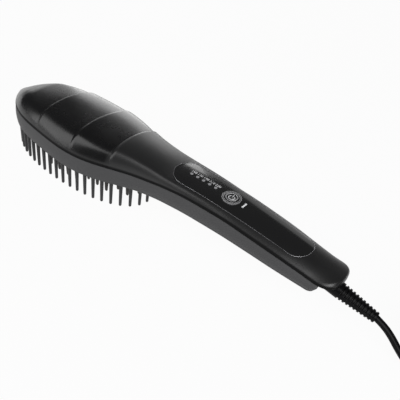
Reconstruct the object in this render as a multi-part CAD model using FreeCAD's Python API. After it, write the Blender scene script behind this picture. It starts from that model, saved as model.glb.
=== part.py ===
import FreeCAD, Part
import math
import os

# Hair straightening brush: a long body in two shells, a wide domed head with
# three shingle-like steps on its back, heated teeth ringed by plastic pins
# below, a control panel in the handle and a mains lead at the handle's end.
# Millimetres. X runs from the head's tip to the lead, Z is up, pins point down.
# Everything is laid out from the head's tip and moved to the origin at export.

# Body, in plan and in height
body_length = 293.0
head_length = 109.0
neck_length = 56.0
end_length = 16.0
head_half_width = 33.6
handle_half_width = 16.6
end_half_width = 14.4
end_overhang = 10.0
end_undercut = 12.5
end_wall = 2.5
pin_reach = 21.0
head_depth = 27.0
side_wall = 2.0
top_wall = 3.0
bottom_wall = 2.0
seam_gap = 0.3
crown_lip = 1.0
overrun = 8.0

# Plan outline: shares of the lengths and half widths above
head_length_shares = (0.087, 0.248, 0.56, 0.807, 1.0)
head_width_shares = (0.476, 0.753, 0.952, 1.0, 0.908)
neck_length_shares = (0.232, 0.464, 0.714, 1.0)
neck_width_shares = (0.58, 0.304, 0.083, 0.0)
handle_length_shares = (0.394, 0.78, 1.0)
handle_width_shares = (1.0, 0.6, 0.0)
end_length_shares = (0.5, 0.8, 0.95)
end_width_shares = (0.95, 0.79, 0.51)

# Side view: at each share of the length, the shares of the head's depth at
# which the crown, the seam and the belly lie, the belly's rise at its edges,
# and the power that shapes the crown across
profile_shares = (
    (0.0, 0.44, 0.481, 0.0, 0.01, 2.4),
    (0.0138, 0.53, 0.482, 0.0, 0.01, 2.6),
    (0.0328, 0.65, 0.485, 0.0, 0.01, 2.8),
    (0.062, 0.795, 0.49, 0.0, 0.01, 3.2),
    (0.0931, 0.895, 0.495, 0.0, 0.01, 3.7),
    (0.179, 0.965, 0.507, 0.0, 0.01, 4.0),
    (0.307, 0.975, 0.537, 0.0, 0.01, 4.0),
    (0.417, 0.96, 0.63, 0.0, 0.04, 3.8),
    (0.517, 0.95, 0.72, 0.04, 0.15, 3.8),
    (0.569, 0.95, 0.755, 0.07, 0.2, 3.8),
    (0.717, 0.92, 0.735, 0.06, 0.2, 3.3),
    (0.807, 0.86, 0.7, 0.05, 0.2, 3.1),
    (0.862, 0.805, 0.655, 0.03, 0.2, 3.1),
    (0.924, 0.73, 0.575, -0.01, 0.2, 3.1),
    (0.966, 0.67, 0.515, -0.025, 0.2, 3.1),
    (1.0, 0.61, 0.465, -0.025, 0.18, 3.1),
)
inner_across_shares = (-1.0, -0.8, -0.55, -0.28, 0.0, 0.28, 0.55, 0.8, 1.0)
outer_across_shares = (-1.2,) + inner_across_shares + (1.2,)
least_section_share = 0.2

# Steps on the head's back: where each ridge crosses the middle, how far its
# ends sweep back towards the tip, and how high it stands
ridge_places = (52.0, 89.0, 121.0)
ridge_bow = 8.0
ridge_step = 2.2

# Pins and heated teeth under the head
comb_front = 8.0
comb_rear = 139.0
comb_half_width = 29.6
comb_power = 2.2
pin_pitch = 7.0
pin_root_radius = 1.4
pin_tip_radius = 1.0
pin_end_radius = 0.5
pin_round = 1.2
frame_margin = 1.6
frame_clearance = 0.25
frame_recess = 0.3
frame_thickness = 2.4
ledge_margin = 0.4
ledge_thickness = 2.0
plate_gap = 0.3
frame_land = 4.7
flange_overlap = 2.0
plate_drop = 0.5
flange_thickness = 1.5
tooth_end_gap = 2.5
tooth_row_pitch = 7.5
tooth_pitch = 9.5
tooth_rows = 3
tooth_half_length = 2.75
tooth_half_width = 1.8
tooth_tip_half_length = 1.3
tooth_tip_half_width = 0.9
tooth_round = 1.6
tooth_round_share = 0.45
tooth_edge_gap = 5.6

# Heater parts on the plate
element_length = 70.0
element_width = 13.0
element_thickness = 2.2
element_place = 77.0
clamp_width = 9.0
clamp_thickness = 0.8
clamp_foot = 8.0
screw_radius = 1.2
screw_head_radius = 2.3
screw_head_height = 1.6
screw_clearance = 0.1
fuse_radius = 2.0
fuse_length = 12.0
fuse_place = 70.0
fuse_offset = 13.0
lead_stub_radius = 0.5
lead_stub_length = 6.0
sensor_radius = 1.5
sensor_length = 6.0
sensor_place = 92.0
sensor_offset = 13.0

# Control panel, its button and lamps
panel_start = 163.0
panel_length = 105.0
panel_half_width = 12.5
panel_end_half_width = 10.9
panel_round = 12.0
panel_arch = 18.0
panel_arch_share = 0.62
panel_thickness = 1.4
panel_gap = 0.15
button_place = 208.0
button_radius = 5.0
button_gap = 0.3
button_rise = 0.5
button_dish = 0.4
button_edge = 0.5
button_travel = 0.5
button_flange = 1.2
button_flange_thickness = 0.8
ring_radius = 6.5
ring_height = 1.0
ring_rise = 0.35
lamp_count = 5
lamp_place = 175.0
lamp_pitch = 5.0
lamp_radius = 1.1
lamp_gap = 0.1
bar_place = 218.0
bar_half_length = 2.5
bar_half_width = 0.6
lens_rise = 0.1

# Circuit board and what it carries
board_start = 165.0
board_length = 81.0
board_half_width = 10.5
board_top = 36.0
board_thickness = 1.6
boss_radius = 3.2
board_boss_inset = 4.0
board_screw_length = 7.0
switch_half_side = 3.0
switch_height = 3.5
plunger_radius = 1.6
plunger_gap = 0.1
plunger_height = 1.4
plunger_stand = 0.6
led_half_side = 0.8
led_height = 1.2
capacitor_place = 232.0
capacitor_length = 13.0
capacitor_width = 6.0
capacitor_height = 8.0
triac_place = 190.0
triac_length = 10.0
triac_width = 4.5
triac_height = 7.0
tube_fuse_place = 214.0
tube_fuse_length = 12.0
tube_fuse_radius = 2.2
component_offset = 5.0

# Screws that join the shells
shell_screw_places = (157.5, 252.0)
shell_split_height = 32.0
shell_screw_length = 14.0
shell_screw_seat = 3.0
shell_screw_sink_radius = 2.8

# Strain relief at the handle's end
relief_start = 287.5
relief_height = 26.3
relief_length = 30.3
relief_pitch = 9.0
relief_root_radius = 5.3
relief_end_radius = 3.5
relief_smooth = 6.0
relief_ribs = 10
relief_groove = 0.9
relief_groove_share = 0.42
relief_hole_gap = 0.2
relief_tail = 20.0
collar_half_width = 7.0
collar_low = 4.2
collar_high = 4.6
collar_thickness = 3.0

# Leads inside the body
heater_lead_diameter = 1.6
sensor_lead_diameter = 1.0
mains_lead_diameter = 1.8

# Mains lead outside: its route from the relief to the coil, the coil of the
# stored length, and the route from the coil to the plug
cord_diameter = 4.4
cord_route = (
    (324.5, 0.0, 20.4), (331.1, -0.8, 17.5), (336.5, -2.1, 13.0), (341.8, -3.1, 8.2),
    (348.1, -3.8, 4.8), (355.1, -4.0, 3.4),
)
coil_centre = (366.5, 27.8)
coil_inner_radius = 20.6
coil_pitch = 5.6
coil_turns = 2
coil_layers = 4
tail_route = (
    (382.0, -6.4, 19.2), (393.2, -4.8, 16.6), (403.2, -1.6, 13.2), (410.8, 3.0, 10.2),
    (415.6, 8.4, 8.1), (417.4, 14.4, 6.85),
)
tie_width = 9.0
tie_thickness = 0.8
tie_gap = 0.3

# Two-pin plug lying beside the coil
plug_length = 36.0
plug_half_width = 17.6
plug_half_thickness = 6.85
plug_neck_half_width = 5.2
plug_neck_share = 0.3
plug_shoulder_share = 0.62
plug_start = 19.0
plug_pin_radius = 2.0
plug_pin_length = 19.0
plug_pin_spacing = 18.6
plug_pin_round = 0.8

UP = FreeCAD.Vector(0, 0, 1)
comb_steps = 24
pin_sides = 8
gap_skip_count = 8
frame_bottom = pin_reach + frame_recess
frame_top = frame_bottom + frame_thickness
flange_top = frame_top + flange_thickness
pieces = {}


def at(x, y, z):
    return FreeCAD.Vector(x, y, z)


def save(name, shape):
    """Keep one finished piece under its node's name."""
    pieces[name] = shape


def block(x0, x1, y0, y1, z0, z1):
    return Part.makeBox(x1 - x0, y1 - y0, z1 - z0, at(x0, y0, z0))


def post(radius, x, y, z0, z1):
    return Part.makeCylinder(radius, z1 - z0, at(x, y, z0))


def group(shapes):
    return Part.makeCompound(shapes)


def smooth_edge(points):
    curve = Part.BSplineCurve()
    curve.interpolate(points)
    return curve.toShape()


def prism(outline, z0, z1):
    """A flat closed wire carried straight up between two heights."""
    face = Part.Face(outline)
    face.translate(at(0, 0, z0))
    return face.extrude(at(0, 0, z1 - z0))


# Plan outline of the body, drawn in by an inset for the inside

def outline_points(inset):
    neck_end = head_length + neck_length
    end_start = body_length - end_length
    points = []
    for along, across in zip(head_length_shares, head_width_shares):
        points.append((head_length * along, head_half_width * across))
    for along, across in zip(neck_length_shares, neck_width_shares):
        width = handle_half_width + (head_half_width - handle_half_width) * across
        points.append((head_length + neck_length * along, width))
    for along, across in zip(handle_length_shares, handle_width_shares):
        width = end_half_width + (handle_half_width - end_half_width) * across
        points.append((neck_end + (end_start - neck_end) * along, width))
    for along, across in zip(end_length_shares, end_width_shares):
        points.append((end_start + end_length * along, end_half_width * across))
    shrink = (body_length - inset - inset) / body_length
    return [(inset + x * shrink, y - inset) for x, y in points]


def outline_curve(inset):
    """One closed smooth curve through the near points and their mirrors."""
    near = outline_points(inset)
    points = [at(inset, 0, 0)]
    points += [at(x, -y, 0) for x, y in near]
    points.append(at(body_length - inset, 0, 0))
    points += [at(x, y, 0) for x, y in reversed(near)]
    curve = Part.BSplineCurve()
    curve.interpolate(Points=points, PeriodicFlag=True)
    return curve


def outline_wire(inset):
    return Part.Wire([outline_curve(inset).toShape()])


body_curve = outline_curve(0)
body_end = body_curve.parameter(at(body_length, 0, 0))


def half_width(x):
    """The outline's half width at x, found by halving the near half's range."""
    low, high = body_curve.FirstParameter, body_end
    for _ in range(40):
        middle = (low + high) / 2
        if body_curve.value(middle).x < x:
            low = middle
        else:
            high = middle
    return -body_curve.value(low).y


# Side view: heights by station

def height(share):
    return pin_reach + head_depth * share


def profile_at(x):
    """The side view's shares at x, in straight lines between the stations."""
    share = min(max(x / body_length, 0), 1)
    for before, after in zip(profile_shares, profile_shares[1:]):
        if share <= after[0]:
            step = (share - before[0]) / (after[0] - before[0])
            return [a + (b - a) * step for a, b in zip(before, after)]
    return list(profile_shares[-1])


def crown_height(x):
    return height(profile_at(x)[1])


def belly_height(x):
    return height(profile_at(x)[3])


def section(x, low, high, shares):
    """One closed cross-section between a lower and an upper curve of y."""
    least = head_half_width * least_section_share if x < head_length else end_half_width
    width = max(half_width(x), least)
    ys = [width * share for share in shares]
    top = smooth_edge([at(x, y, high(y / width)) for y in ys])
    bottom = smooth_edge([at(x, y, low(y / width)) for y in ys])
    near = Part.makeLine(top.Vertexes[0].Point, bottom.Vertexes[0].Point)
    far = Part.makeLine(top.Vertexes[1].Point, bottom.Vertexes[1].Point)
    return Part.Wire(Part.__sortEdges__([top, far, bottom, near]))


def stations():
    return [body_length * row[0] for row in profile_shares]


def crown_curve(x, added, drop):
    shares = profile_at(x)
    crown = height(shares[1]) + added - drop
    rim = height(shares[2]) + crown_lip - drop
    return lambda y: crown - (crown - rim) * abs(y) ** shares[5]


def belly_curve(x, lift):
    """The belly across, or the cavity's floor when lifted by a wall: that floor
    stays above the ledge as far as the comb reaches."""
    shares = profile_at(x)
    low = height(shares[3]) + lift
    if lift > 0 and x < comb_rear:
        low = frame_top + ledge_thickness
    return lambda y: low + head_depth * shares[4] * y * y


def crown_solid(added, x_from, x_to):
    """Everything under the crown between two stations, down to the pin tips."""
    places = [x for x in stations() if x_from < x < x_to]
    places = [x_from] + places + [x_to]
    wires = []
    for x in places:
        wires.append(section(x, lambda y: 0, crown_curve(x, added(x), 0), outer_across_shares))
    return Part.makeLoft(wires, True, False)


def tapered_step(start, end):
    """A step that is full height at start and has run out at end."""
    most_share = 1 + ridge_bow / (end - start)
    return lambda x: ridge_step * min(max((end - x) / (end - start), 0), most_share)


def ridge_edge(x):
    """The bowed line of one ridge in plan."""
    wide = head_half_width + overrun
    ends = x - ridge_bow
    return Part.Arc(at(ends, -wide, 0), at(x, 0, 0), at(ends, wide, 0)).toShape()


def plan_region(start, end):
    """The plan strip from one edge to the next, carried above the crown."""
    first = Part.makeLine(start.Vertexes[0].Point, end.Vertexes[0].Point)
    last = Part.makeLine(start.Vertexes[1].Point, end.Vertexes[1].Point)
    wire = Part.Wire(Part.__sortEdges__([start, last, end, first]))
    return prism(wire, 0, height(1) + overrun)


def square_edge(x):
    wide = head_half_width + overrun
    return Part.makeLine(at(x, -wide, 0), at(x, wide, 0))


seam_points = [at(body_length * row[0], 0, height(row[2])) for row in profile_shares]


def under_seam(drop):
    """The space below the seam line, lowered by a gap."""
    wide = head_half_width + overrun
    ends = [at(-overrun, 0, seam_points[0].z), at(body_length + overrun, 0, seam_points[-1].z)]
    line = smooth_edge([ends[0]] + seam_points + [ends[1]])
    corners = [at(ends[0].x, 0, -overrun), at(ends[1].x, 0, -overrun)]
    sides = [Part.makeLine(ends[0], corners[0]), Part.makeLine(corners[0], corners[1])]
    sides.append(Part.makeLine(corners[1], ends[1]))
    face = Part.Face(Part.Wire(Part.__sortEdges__([line] + sides)))
    face.translate(at(0, -wide, -drop))
    return face.extrude(at(0, wide + wide, 0))


# Outer and inner forms of the body

segment_edges = [square_edge(-overrun)]
segment_edges += [ridge_edge(x) for x in ridge_places]
segment_edges.append(square_edge(body_length + overrun))
neck_end = head_length + neck_length
segment_spans = [(0,) + ridge_places, ridge_places + (neck_end,)]
segments = []
for number, (start, end) in enumerate(zip(*segment_spans)):
    low = max(start - ridge_bow - overrun, 0)
    high = body_length if end == neck_end else end + overrun
    form = crown_solid(tapered_step(start, end), low, high)
    segments.append(form.common(plan_region(segment_edges[number], segment_edges[number + 1])))
crown_form = segments[0].fuse(segments[1:])
handle_form = crown_solid(lambda x: 0, neck_end - panel_round, body_length)

inside_wires = []
for x in stations():
    floor_line = belly_curve(x, bottom_wall)
    inside_wires.append(section(x, floor_line, crown_curve(x, 0, top_wall), inner_across_shares))
inside = Part.makeLoft(inside_wires, True, False).common(
    prism(outline_wire(side_wall), 0, height(1) + overrun))


heel = body_length - end_overhang


def end_wedge(shift):
    """What the slanted end face takes off below the seam, moved along X."""
    wide = head_half_width + overrun
    foot = heel - end_undercut
    top = height(profile_at(heel)[2])
    low = belly_height(foot)
    beyond = body_length + overrun + end_wall
    corners = [(heel, top), (foot, low), (foot, 0), (beyond, 0), (beyond, top)]
    points = [at(x + shift, -wide, z) for x, z in corners]
    return Part.Face(Part.makePolygon(points + points[:1])).extrude(at(0, wide + wide, 0))


nose = block(heel - end_wall, body_length + overrun, -head_half_width, head_half_width,
             0, height(1) + overrun)
inside = inside.cut([end_wedge(-end_wall), nose])
plan_solid = prism(outline_wire(0), 0, height(1) + overrun)
outer = crown_form.common(plan_solid)


# Strain relief: a moulded cone with ring ribs on the lead's axis

def along_relief(shape):
    """Turn a shape that stands on X at the origin onto the relief's axis."""
    shape.rotate(at(0, 0, 0), at(0, 1, 0), relief_pitch)
    shape.translate(at(relief_start, 0, relief_height))
    return shape


def relief_profile():
    points = [at(-relief_tail, 0, 0), at(-relief_tail, 0, relief_root_radius)]
    points.append(at(relief_smooth, 0, relief_root_radius))
    step = (relief_length - relief_smooth) / relief_ribs
    for rib in range(relief_ribs):
        x = relief_smooth + step * rib
        radius = relief_root_radius + (relief_end_radius - relief_root_radius) * rib / relief_ribs
        inner = radius - relief_groove
        groove_end = x + step * relief_groove_share
        points += [at(x, 0, inner), at(groove_end, 0, inner), at(groove_end, 0, radius)]
        points.append(at(x + step, 0, radius))
    points += [at(relief_length, 0, 0), points[0]]
    return Part.Face(Part.makePolygon(points))


def on_relief(x):
    """A point on the relief's axis, x along it from the handle's end."""
    angle = math.radians(relief_pitch)
    return at(relief_start + x * math.cos(angle), 0, relief_height - x * math.sin(angle))


relief = relief_profile().revolve(at(0, 0, 0), at(1, 0, 0), 360)
collar = block(-relief_tail, collar_thickness - relief_tail, -collar_half_width, collar_half_width,
               -collar_low, collar_high)
save("strain_relief", along_relief(relief.fuse(collar)))
relief_hole = along_relief(Part.makeCylinder(relief_root_radius + relief_hole_gap,
                                             relief_tail + relief_smooth,
                                             at(-relief_tail, 0, 0), at(1, 0, 0)))


# Upper shell: the ridged back, a recess for the panel and bosses inside

def panel_wire(gap):
    start = panel_start - gap
    end = panel_start + panel_length + gap
    wide = panel_half_width + gap
    narrow = panel_end_half_width + gap
    round_x = panel_start + panel_round
    arch_x = end - panel_arch
    arch_mid = at(arch_x + panel_arch * panel_arch_share, narrow * panel_arch_share, 0)
    tip = at(end, 0, 0)
    edges = [Part.Arc(at(round_x, -wide, 0), at(start, 0, 0), at(round_x, wide, 0)).toShape()]
    for side in (-1, 1):
        corner = at(arch_x, narrow * side, 0)
        edges.append(Part.makeLine(at(round_x, wide * side, 0), corner))
        edges.append(Part.Arc(corner, at(arch_mid.x, arch_mid.y * side, 0), tip).toShape())
    return Part.Wire(Part.__sortEdges__(edges))


button_height = crown_height(button_place)
lamp_xs = [lamp_place + lamp_pitch * number for number in range(lamp_count)]
boss_xs = (board_start + board_boss_inset, board_start + board_length - board_boss_inset)
ceiling = height(1)


def boss_top(x):
    """Where a boss meets the shell: half way into the top wall."""
    return crown_height(x) - top_wall / 2


def lamp_wells(radius_gap, z0, z1):
    """The round and the bar-shaped wells over the lamps."""
    wells = [post(lamp_radius + radius_gap, x, 0, z0, z1) for x in lamp_xs]
    half_w = bar_half_width + radius_gap
    half_l = bar_half_length + radius_gap
    wells.append(block(bar_place - half_w, bar_place + half_w, -half_l, half_l, z0, z1))
    return wells


upper = outer.cut(under_seam(0)).cut(inside)
recess = prism(panel_wire(panel_gap), board_top, ceiling + overrun)
recess_floor = handle_form.copy()
recess_floor.translate(at(0, 0, -panel_thickness - panel_gap))
upper = upper.cut(recess.cut(recess_floor))
for x in shell_screw_places:
    upper = upper.fuse(post(boss_radius, x, 0, shell_split_height, boss_top(x)))
for x in boss_xs:
    upper = upper.fuse(post(boss_radius, x, 0, board_top, boss_top(x) - panel_thickness))
pilot = screw_radius + screw_clearance
upper_cuts = []
for x in shell_screw_places:
    upper_cuts.append(post(pilot, x, 0, 0, belly_height(x) + shell_screw_seat + shell_screw_length))
for x in boss_xs:
    upper_cuts.append(post(pilot, x, 0, 0, board_top + board_screw_length - board_thickness))
upper_cuts.append(post(button_radius + button_gap, button_place, 0, board_top, ceiling))
upper_cuts += lamp_wells(lamp_gap, board_top, ceiling)
save("upper_shell", upper.cut(upper_cuts).removeSplitter())


# Lower shell: the side band, the handle's belly and the ledge round the head

def comb_wire(margin):
    """The oval of the pins, grown by a margin: one power curve front and rear."""
    centre = (comb_front + comb_rear) / 2
    half = (comb_rear - comb_front) / 2 + margin
    wide = comb_half_width + margin
    points = []
    for step in range(comb_steps):
        angle = 2 * math.pi * step / comb_steps
        c, s = math.cos(angle), math.sin(angle)
        x = math.copysign(abs(c) ** (2 / comb_power), c)
        y = math.copysign(abs(s) ** (2 / comb_power), s)
        points.append(at(centre + half * x, wide * y, 0))
    curve = Part.BSplineCurve()
    curve.interpolate(Points=points, PeriodicFlag=True)
    return Part.Wire([curve.toShape()])


belly_wires = []
for x in stations():
    belly_wires.append(section(x, belly_curve(x, 0), lambda y: ceiling, outer_across_shares))
belly_form = Part.makeLoft(belly_wires, True, False)
lower = belly_form.common(plan_solid).common(under_seam(seam_gap)).cut([inside, end_wedge(0)])
for x in shell_screw_places:
    boss_low = belly_height(x) + bottom_wall / 2
    lower = lower.fuse(post(boss_radius + screw_radius, x, 0, boss_low, shell_split_height))
lower_cuts = [relief_hole]
lower_cuts.append(prism(comb_wire(ledge_margin), 0, height(1)).common(block(
    0, body_length, -head_half_width, head_half_width, 0, frame_top + bottom_wall + overrun)))
lower_cuts.append(prism(comb_wire(frame_margin + frame_clearance), 0, frame_top))
for x in shell_screw_places:
    seat = belly_height(x) + shell_screw_seat
    lower_cuts.append(post(pilot, x, 0, 0, shell_split_height))
    lower_cuts.append(post(shell_screw_sink_radius, x, 0, 0, seat))
save("lower_shell", lower.cut(lower_cuts).removeSplitter())


def screw(x, y, z, length, way):
    """A round-head screw whose head's under side is at z, pointing up or down."""
    low, high = (z, z + length) if way > 0 else (z - length, z)
    shank = post(screw_radius, x, y, low, high)
    base = z - screw_head_height if way > 0 else z
    head = post(screw_head_radius, x, y, base, base + screw_head_height)
    return shank.fuse(head).removeSplitter()


shell_screws = []
for x in shell_screw_places:
    seat = belly_height(x) + shell_screw_seat
    shell_screws.append(screw(x, 0, seat, shell_screw_length - screw_clearance, 1))
save("shell_screws", group(shell_screws))


# Control panel and what sits in it

panel = handle_form.common(prism(panel_wire(0), board_top, ceiling))
panel_under = handle_form.copy()
panel_under.translate(at(0, 0, -panel_thickness))
panel = panel.cut(panel_under)
ring_seat = button_height + ring_rise - ring_height
panel_cuts = [post(button_radius + button_gap, button_place, 0, board_top, ceiling)]
panel_cuts.append(post(ring_radius + lamp_gap, button_place, 0, ring_seat, ceiling))
panel_cuts += lamp_wells(lamp_gap, board_top, ceiling)
save("control_panel", panel.cut(panel_cuts))

ring = post(ring_radius, button_place, 0, ring_seat, ring_seat + ring_height)
save("button_ring", ring.cut(post(button_radius + button_gap, button_place, 0, ring_seat, ceiling)))

flange_level = button_height - top_wall - button_gap
stem_level = board_top + switch_height + plunger_stand
cap_top = button_height + button_rise


def button_profile():
    flange = button_radius + button_flange
    low = flange_level - button_flange_thickness
    points = [at(0, 0, stem_level), at(plunger_radius, 0, stem_level), at(plunger_radius, 0, low)]
    points += [at(flange, 0, low), at(flange, 0, flange_level), at(button_radius, 0, flange_level)]
    points.append(at(button_radius, 0, cap_top - button_edge))
    edges = [Part.makeLine(a, b) for a, b in zip(points, points[1:])]
    rim = at(button_radius - button_edge, 0, cap_top)
    bend = button_edge * (1 - math.cos(math.pi / 4))
    middle = at(button_radius - bend, 0, cap_top - bend)
    edges.append(Part.Arc(points[-1], middle, rim).toShape())
    centre = at(0, 0, cap_top)
    edges += [Part.makeLine(rim, centre), Part.makeLine(centre, points[0])]
    return Part.Face(Part.Wire(edges))


dish_half = button_radius - button_edge - button_edge
dish_ball = (dish_half * dish_half + button_dish * button_dish) / (2 * button_dish)
dish = Part.makeSphere(dish_ball, at(0, 0, cap_top - button_dish + dish_ball))
button = button_profile().revolve(at(0, 0, 0), UP, 360).cut(dish)
button.translate(at(button_place, 0, 0))
save("power_button", button)

lens_floor = board_top + led_height + lamp_gap
lens_band = handle_form.copy()
lens_band.translate(at(0, 0, lens_rise))
lens_blanks = [post(lamp_radius, x, 0, lens_floor, ceiling) for x in lamp_xs]
save("indicator_lenses", group([blank.common(lens_band) for blank in lens_blanks]))
bar_blank = block(bar_place - bar_half_width, bar_place + bar_half_width,
                  -bar_half_length, bar_half_length, lens_floor, ceiling)
save("power_lamp_lens", bar_blank.common(lens_band))


# Circuit board, hung from the upper shell's bosses

board = block(board_start, board_start + board_length, -board_half_width, board_half_width,
              board_top - board_thickness, board_top)
for x in boss_xs:
    board = board.cut(post(pilot, x, 0, 0, board_top))
save("circuit_board", board)
board_bottom = board_top - board_thickness
board_shank = board_screw_length - screw_clearance
save("board_screws", group([screw(x, 0, board_bottom, board_shank, 1) for x in boss_xs]))


def on_board(x, y, length, width, tall):
    return block(x - length / 2, x + length / 2, y - width / 2, y + width / 2, board_top, board_top + tall)


led_side = led_half_side + led_half_side
save("indicator_leds", group([on_board(x, 0, led_side, led_side, led_height) for x in lamp_xs]))
save("power_lamp_led", on_board(bar_place, 0, led_side, bar_half_length, led_height))
switch_side = switch_half_side + switch_half_side
well_floor = stem_level - plunger_height
save("tact_switch", on_board(button_place, 0, switch_side, switch_side, switch_height).cut(
    post(plunger_radius + plunger_gap, button_place, 0, well_floor - button_travel - plunger_gap, ceiling)))
save("switch_plunger", post(plunger_radius, button_place, 0, well_floor, stem_level))


def under_board(x, y, length, width, tall):
    return block(x - length / 2, x + length / 2, y - width / 2, y + width / 2,
                 board_bottom - tall, board_bottom)


save("film_capacitor", under_board(capacitor_place, component_offset, capacitor_length,
                                   capacitor_width, capacitor_height))
save("triac", under_board(triac_place, -component_offset, triac_length, triac_width, triac_height))
tube_fuse = Part.makeCylinder(tube_fuse_radius, tube_fuse_length,
                              at(tube_fuse_place - tube_fuse_length / 2, -component_offset,
                                 board_bottom - tube_fuse_radius), at(1, 0, 0))
save("line_fuse", tube_fuse)


# Comb frame, pins, heater plate and teeth

frame = prism(comb_wire(frame_margin), frame_bottom, frame_top)
save("comb_frame", frame.cut(prism(comb_wire(plate_gap - frame_land), 0, height(1))))


def eight_sided(x, y, z, half_x, half_y):
    """A closed eight-sided ring whose corners lie on an ellipse."""
    points = []
    for corner in range(pin_sides):
        angle = math.pi * (2 * corner + 1) / pin_sides
        points.append(at(x + half_x * math.cos(angle), y + half_y * math.sin(angle), z))
    return Part.makePolygon(points + points[:1])


def tapered_pin(x, y, levels):
    return Part.makeLoft([eight_sided(x, y, z, a, b) for z, a, b in levels], True, True)


comb_edge = comb_wire(0).Edges[0]
pin_count = int(comb_edge.Length / pin_pitch)
pin_levels = ((frame_bottom, pin_root_radius, pin_root_radius),
              (pin_round, pin_tip_radius, pin_tip_radius),
              (0, pin_end_radius, pin_end_radius))
pin_places = comb_edge.discretize(pin_count + 1)[:-1]
save("edge_bristles", group([tapered_pin(place.x, place.y, pin_levels) for place in pin_places]))

plate_bottom = pin_reach - plate_drop
plate = prism(comb_wire(-frame_land), plate_bottom, frame_top)
plate = plate.fuse(prism(comb_wire(flange_overlap - frame_land), frame_top, flange_top))
plate = plate.removeSplitter()

tooth_end_half_length = tooth_tip_half_length * tooth_round_share
tooth_end_half_width = tooth_tip_half_width * tooth_round_share
tooth_levels = ((plate_bottom, tooth_half_length, tooth_half_width),
                (tooth_end_gap + tooth_round, tooth_tip_half_length, tooth_tip_half_width),
                (tooth_end_gap, tooth_end_half_length, tooth_end_half_width))
comb_middle = (comb_front + comb_rear) / 2
comb_half_length = (comb_rear - comb_front) / 2
teeth = []
for row in range(-tooth_rows, tooth_rows + 1):
    y = row * tooth_row_pitch
    room = 1 - (abs(y) / (comb_half_width - tooth_edge_gap)) ** comb_power
    reach = (comb_half_length - tooth_edge_gap) * room ** (1 / comb_power) - tooth_half_length
    stagger = tooth_pitch / 2 * (row % 2)
    side = int((reach - stagger) / tooth_pitch)
    count = side + side + 1 + row % 2
    first = comb_middle - (count - 1) * tooth_pitch / 2
    for number in range(count):
        teeth.append(tapered_pin(first + number * tooth_pitch, y, tooth_levels))
save("heated_teeth", group(teeth))

element_start = element_place - element_length / 2
element_end = element_place + element_length / 2
element_top = flange_top + element_thickness
save("heating_element", block(element_start, element_end, -element_width / 2, element_width / 2,
                              flange_top, element_top))


def clamp_profile():
    """The clamp strip's side view: a flat top with a foot at each end."""
    t = clamp_thickness
    reach = element_end + t + screw_clearance - element_place
    foot = reach + clamp_foot
    half = [(reach - t, element_top), (reach - t, flange_top), (foot, flange_top), (foot, flange_top + t),
            (reach, flange_top + t), (reach, element_top + t)]
    right = [at(element_place + x, -clamp_width / 2, z) for x, z in half]
    left = [at(element_place - x, -clamp_width / 2, z) for x, z in reversed(half)]
    return Part.Face(Part.makePolygon(right + left + right[:1]))


clamp_reach = element_length / 2 + clamp_thickness + clamp_foot / 2 + screw_clearance
clamp_screw_xs = [element_place + side * clamp_reach for side in (-1, 1)]
clamp = clamp_profile().extrude(at(0, clamp_width, 0))
clamp_holes = [post(pilot, x, 0, 0, height(1)) for x in clamp_screw_xs]
save("element_clamp", clamp.cut(clamp_holes))
clamp_seat = flange_top + clamp_thickness
clamp_screw_length = clamp_seat - plate_bottom - flange_thickness
clamp_hole_floor = clamp_seat - clamp_screw_length - screw_clearance
save("heater_plate", plate.cut([post(pilot, x, 0, clamp_hole_floor, ceiling) for x in clamp_screw_xs]))
save("clamp_screws", group([screw(x, 0, clamp_seat, clamp_screw_length, -1) for x in clamp_screw_xs]))


def lying_can(x, y, radius, length, stub):
    """A small round part lying on the plate along X, with its two wire ends."""
    z = flange_top + radius
    can = Part.makeCylinder(radius, length, at(x - length / 2, y, z), at(1, 0, 0))
    start = at(x - length / 2 - stub, y, z)
    wire = Part.makeCylinder(lead_stub_radius, length + stub + stub, start, at(1, 0, 0))
    return can.fuse(wire).removeSplitter()


save("thermal_fuse", lying_can(fuse_place, fuse_offset, fuse_radius, fuse_length, lead_stub_length))
sensor_z = flange_top + sensor_radius
sensor_root = at(sensor_place - sensor_length / 2, -sensor_offset, sensor_z)
save("thermistor", Part.makeCylinder(sensor_radius, sensor_length, sensor_root, at(1, 0, 0)))


# Tubes: straight runs joined by arcs as large as the runs allow

bend_share = 0.45


def bend_mid(start, corner, end, turn):
    """The middle of the arc that touches both runs beside a corner."""
    chord = (start + end) / 2
    half = turn / 2
    return chord + (corner - chord) * (math.tan(half / 2) / math.tan(half))


def route_wire(points, radii):
    edges = []
    here = points[0]
    for before, corner, after in zip(points, points[1:], points[2:]):
        into = corner - before
        out = after - corner
        reach = bend_share * min(into.Length, out.Length)
        turn = into.getAngle(out)
        start = corner - into.normalize() * reach
        end = corner + out.normalize() * reach
        radii.append(reach / math.tan(turn / 2))
        edges.append(Part.makeLine(here, start))
        edges.append(Part.Arc(start, bend_mid(start, corner, end, turn), end).toShape())
        here = end
    edges.append(Part.makeLine(here, points[-1]))
    return Part.Wire(edges)


def sweep(path, diameter):
    start = path.Edges[0]
    ring = Part.makeCircle(diameter / 2, start.Vertexes[0].Point, start.tangentAt(start.FirstParameter))
    return path.makePipeShell([Part.Wire([ring])], True, False)


def tube(name, points, diameter):
    """A tube on a route, with its tightest bend and its volume printed."""
    radii = []
    path = route_wire([at(*point) for point in points], radii)
    solid = sweep(path, diameter)
    ideal = math.pi * diameter * diameter / 4 * path.Length
    print(name, "length %.1f" % path.Length, "least radius %.1f" % min(radii),
          "volume share %.4f" % (solid.Volume / ideal))
    return solid, path.Length


# Leads inside the body, each a pair mirrored about the middle

board_front = board_start
board_rear = board_start + board_length
board_mid = board_top - board_thickness / 2
screw_pass = boss_radius + screw_radius + heater_lead_diameter
heater_z = flange_top + element_thickness / 2
neck_rise = board_mid - heater_z
lead_gap = board_front - element_end


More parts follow.
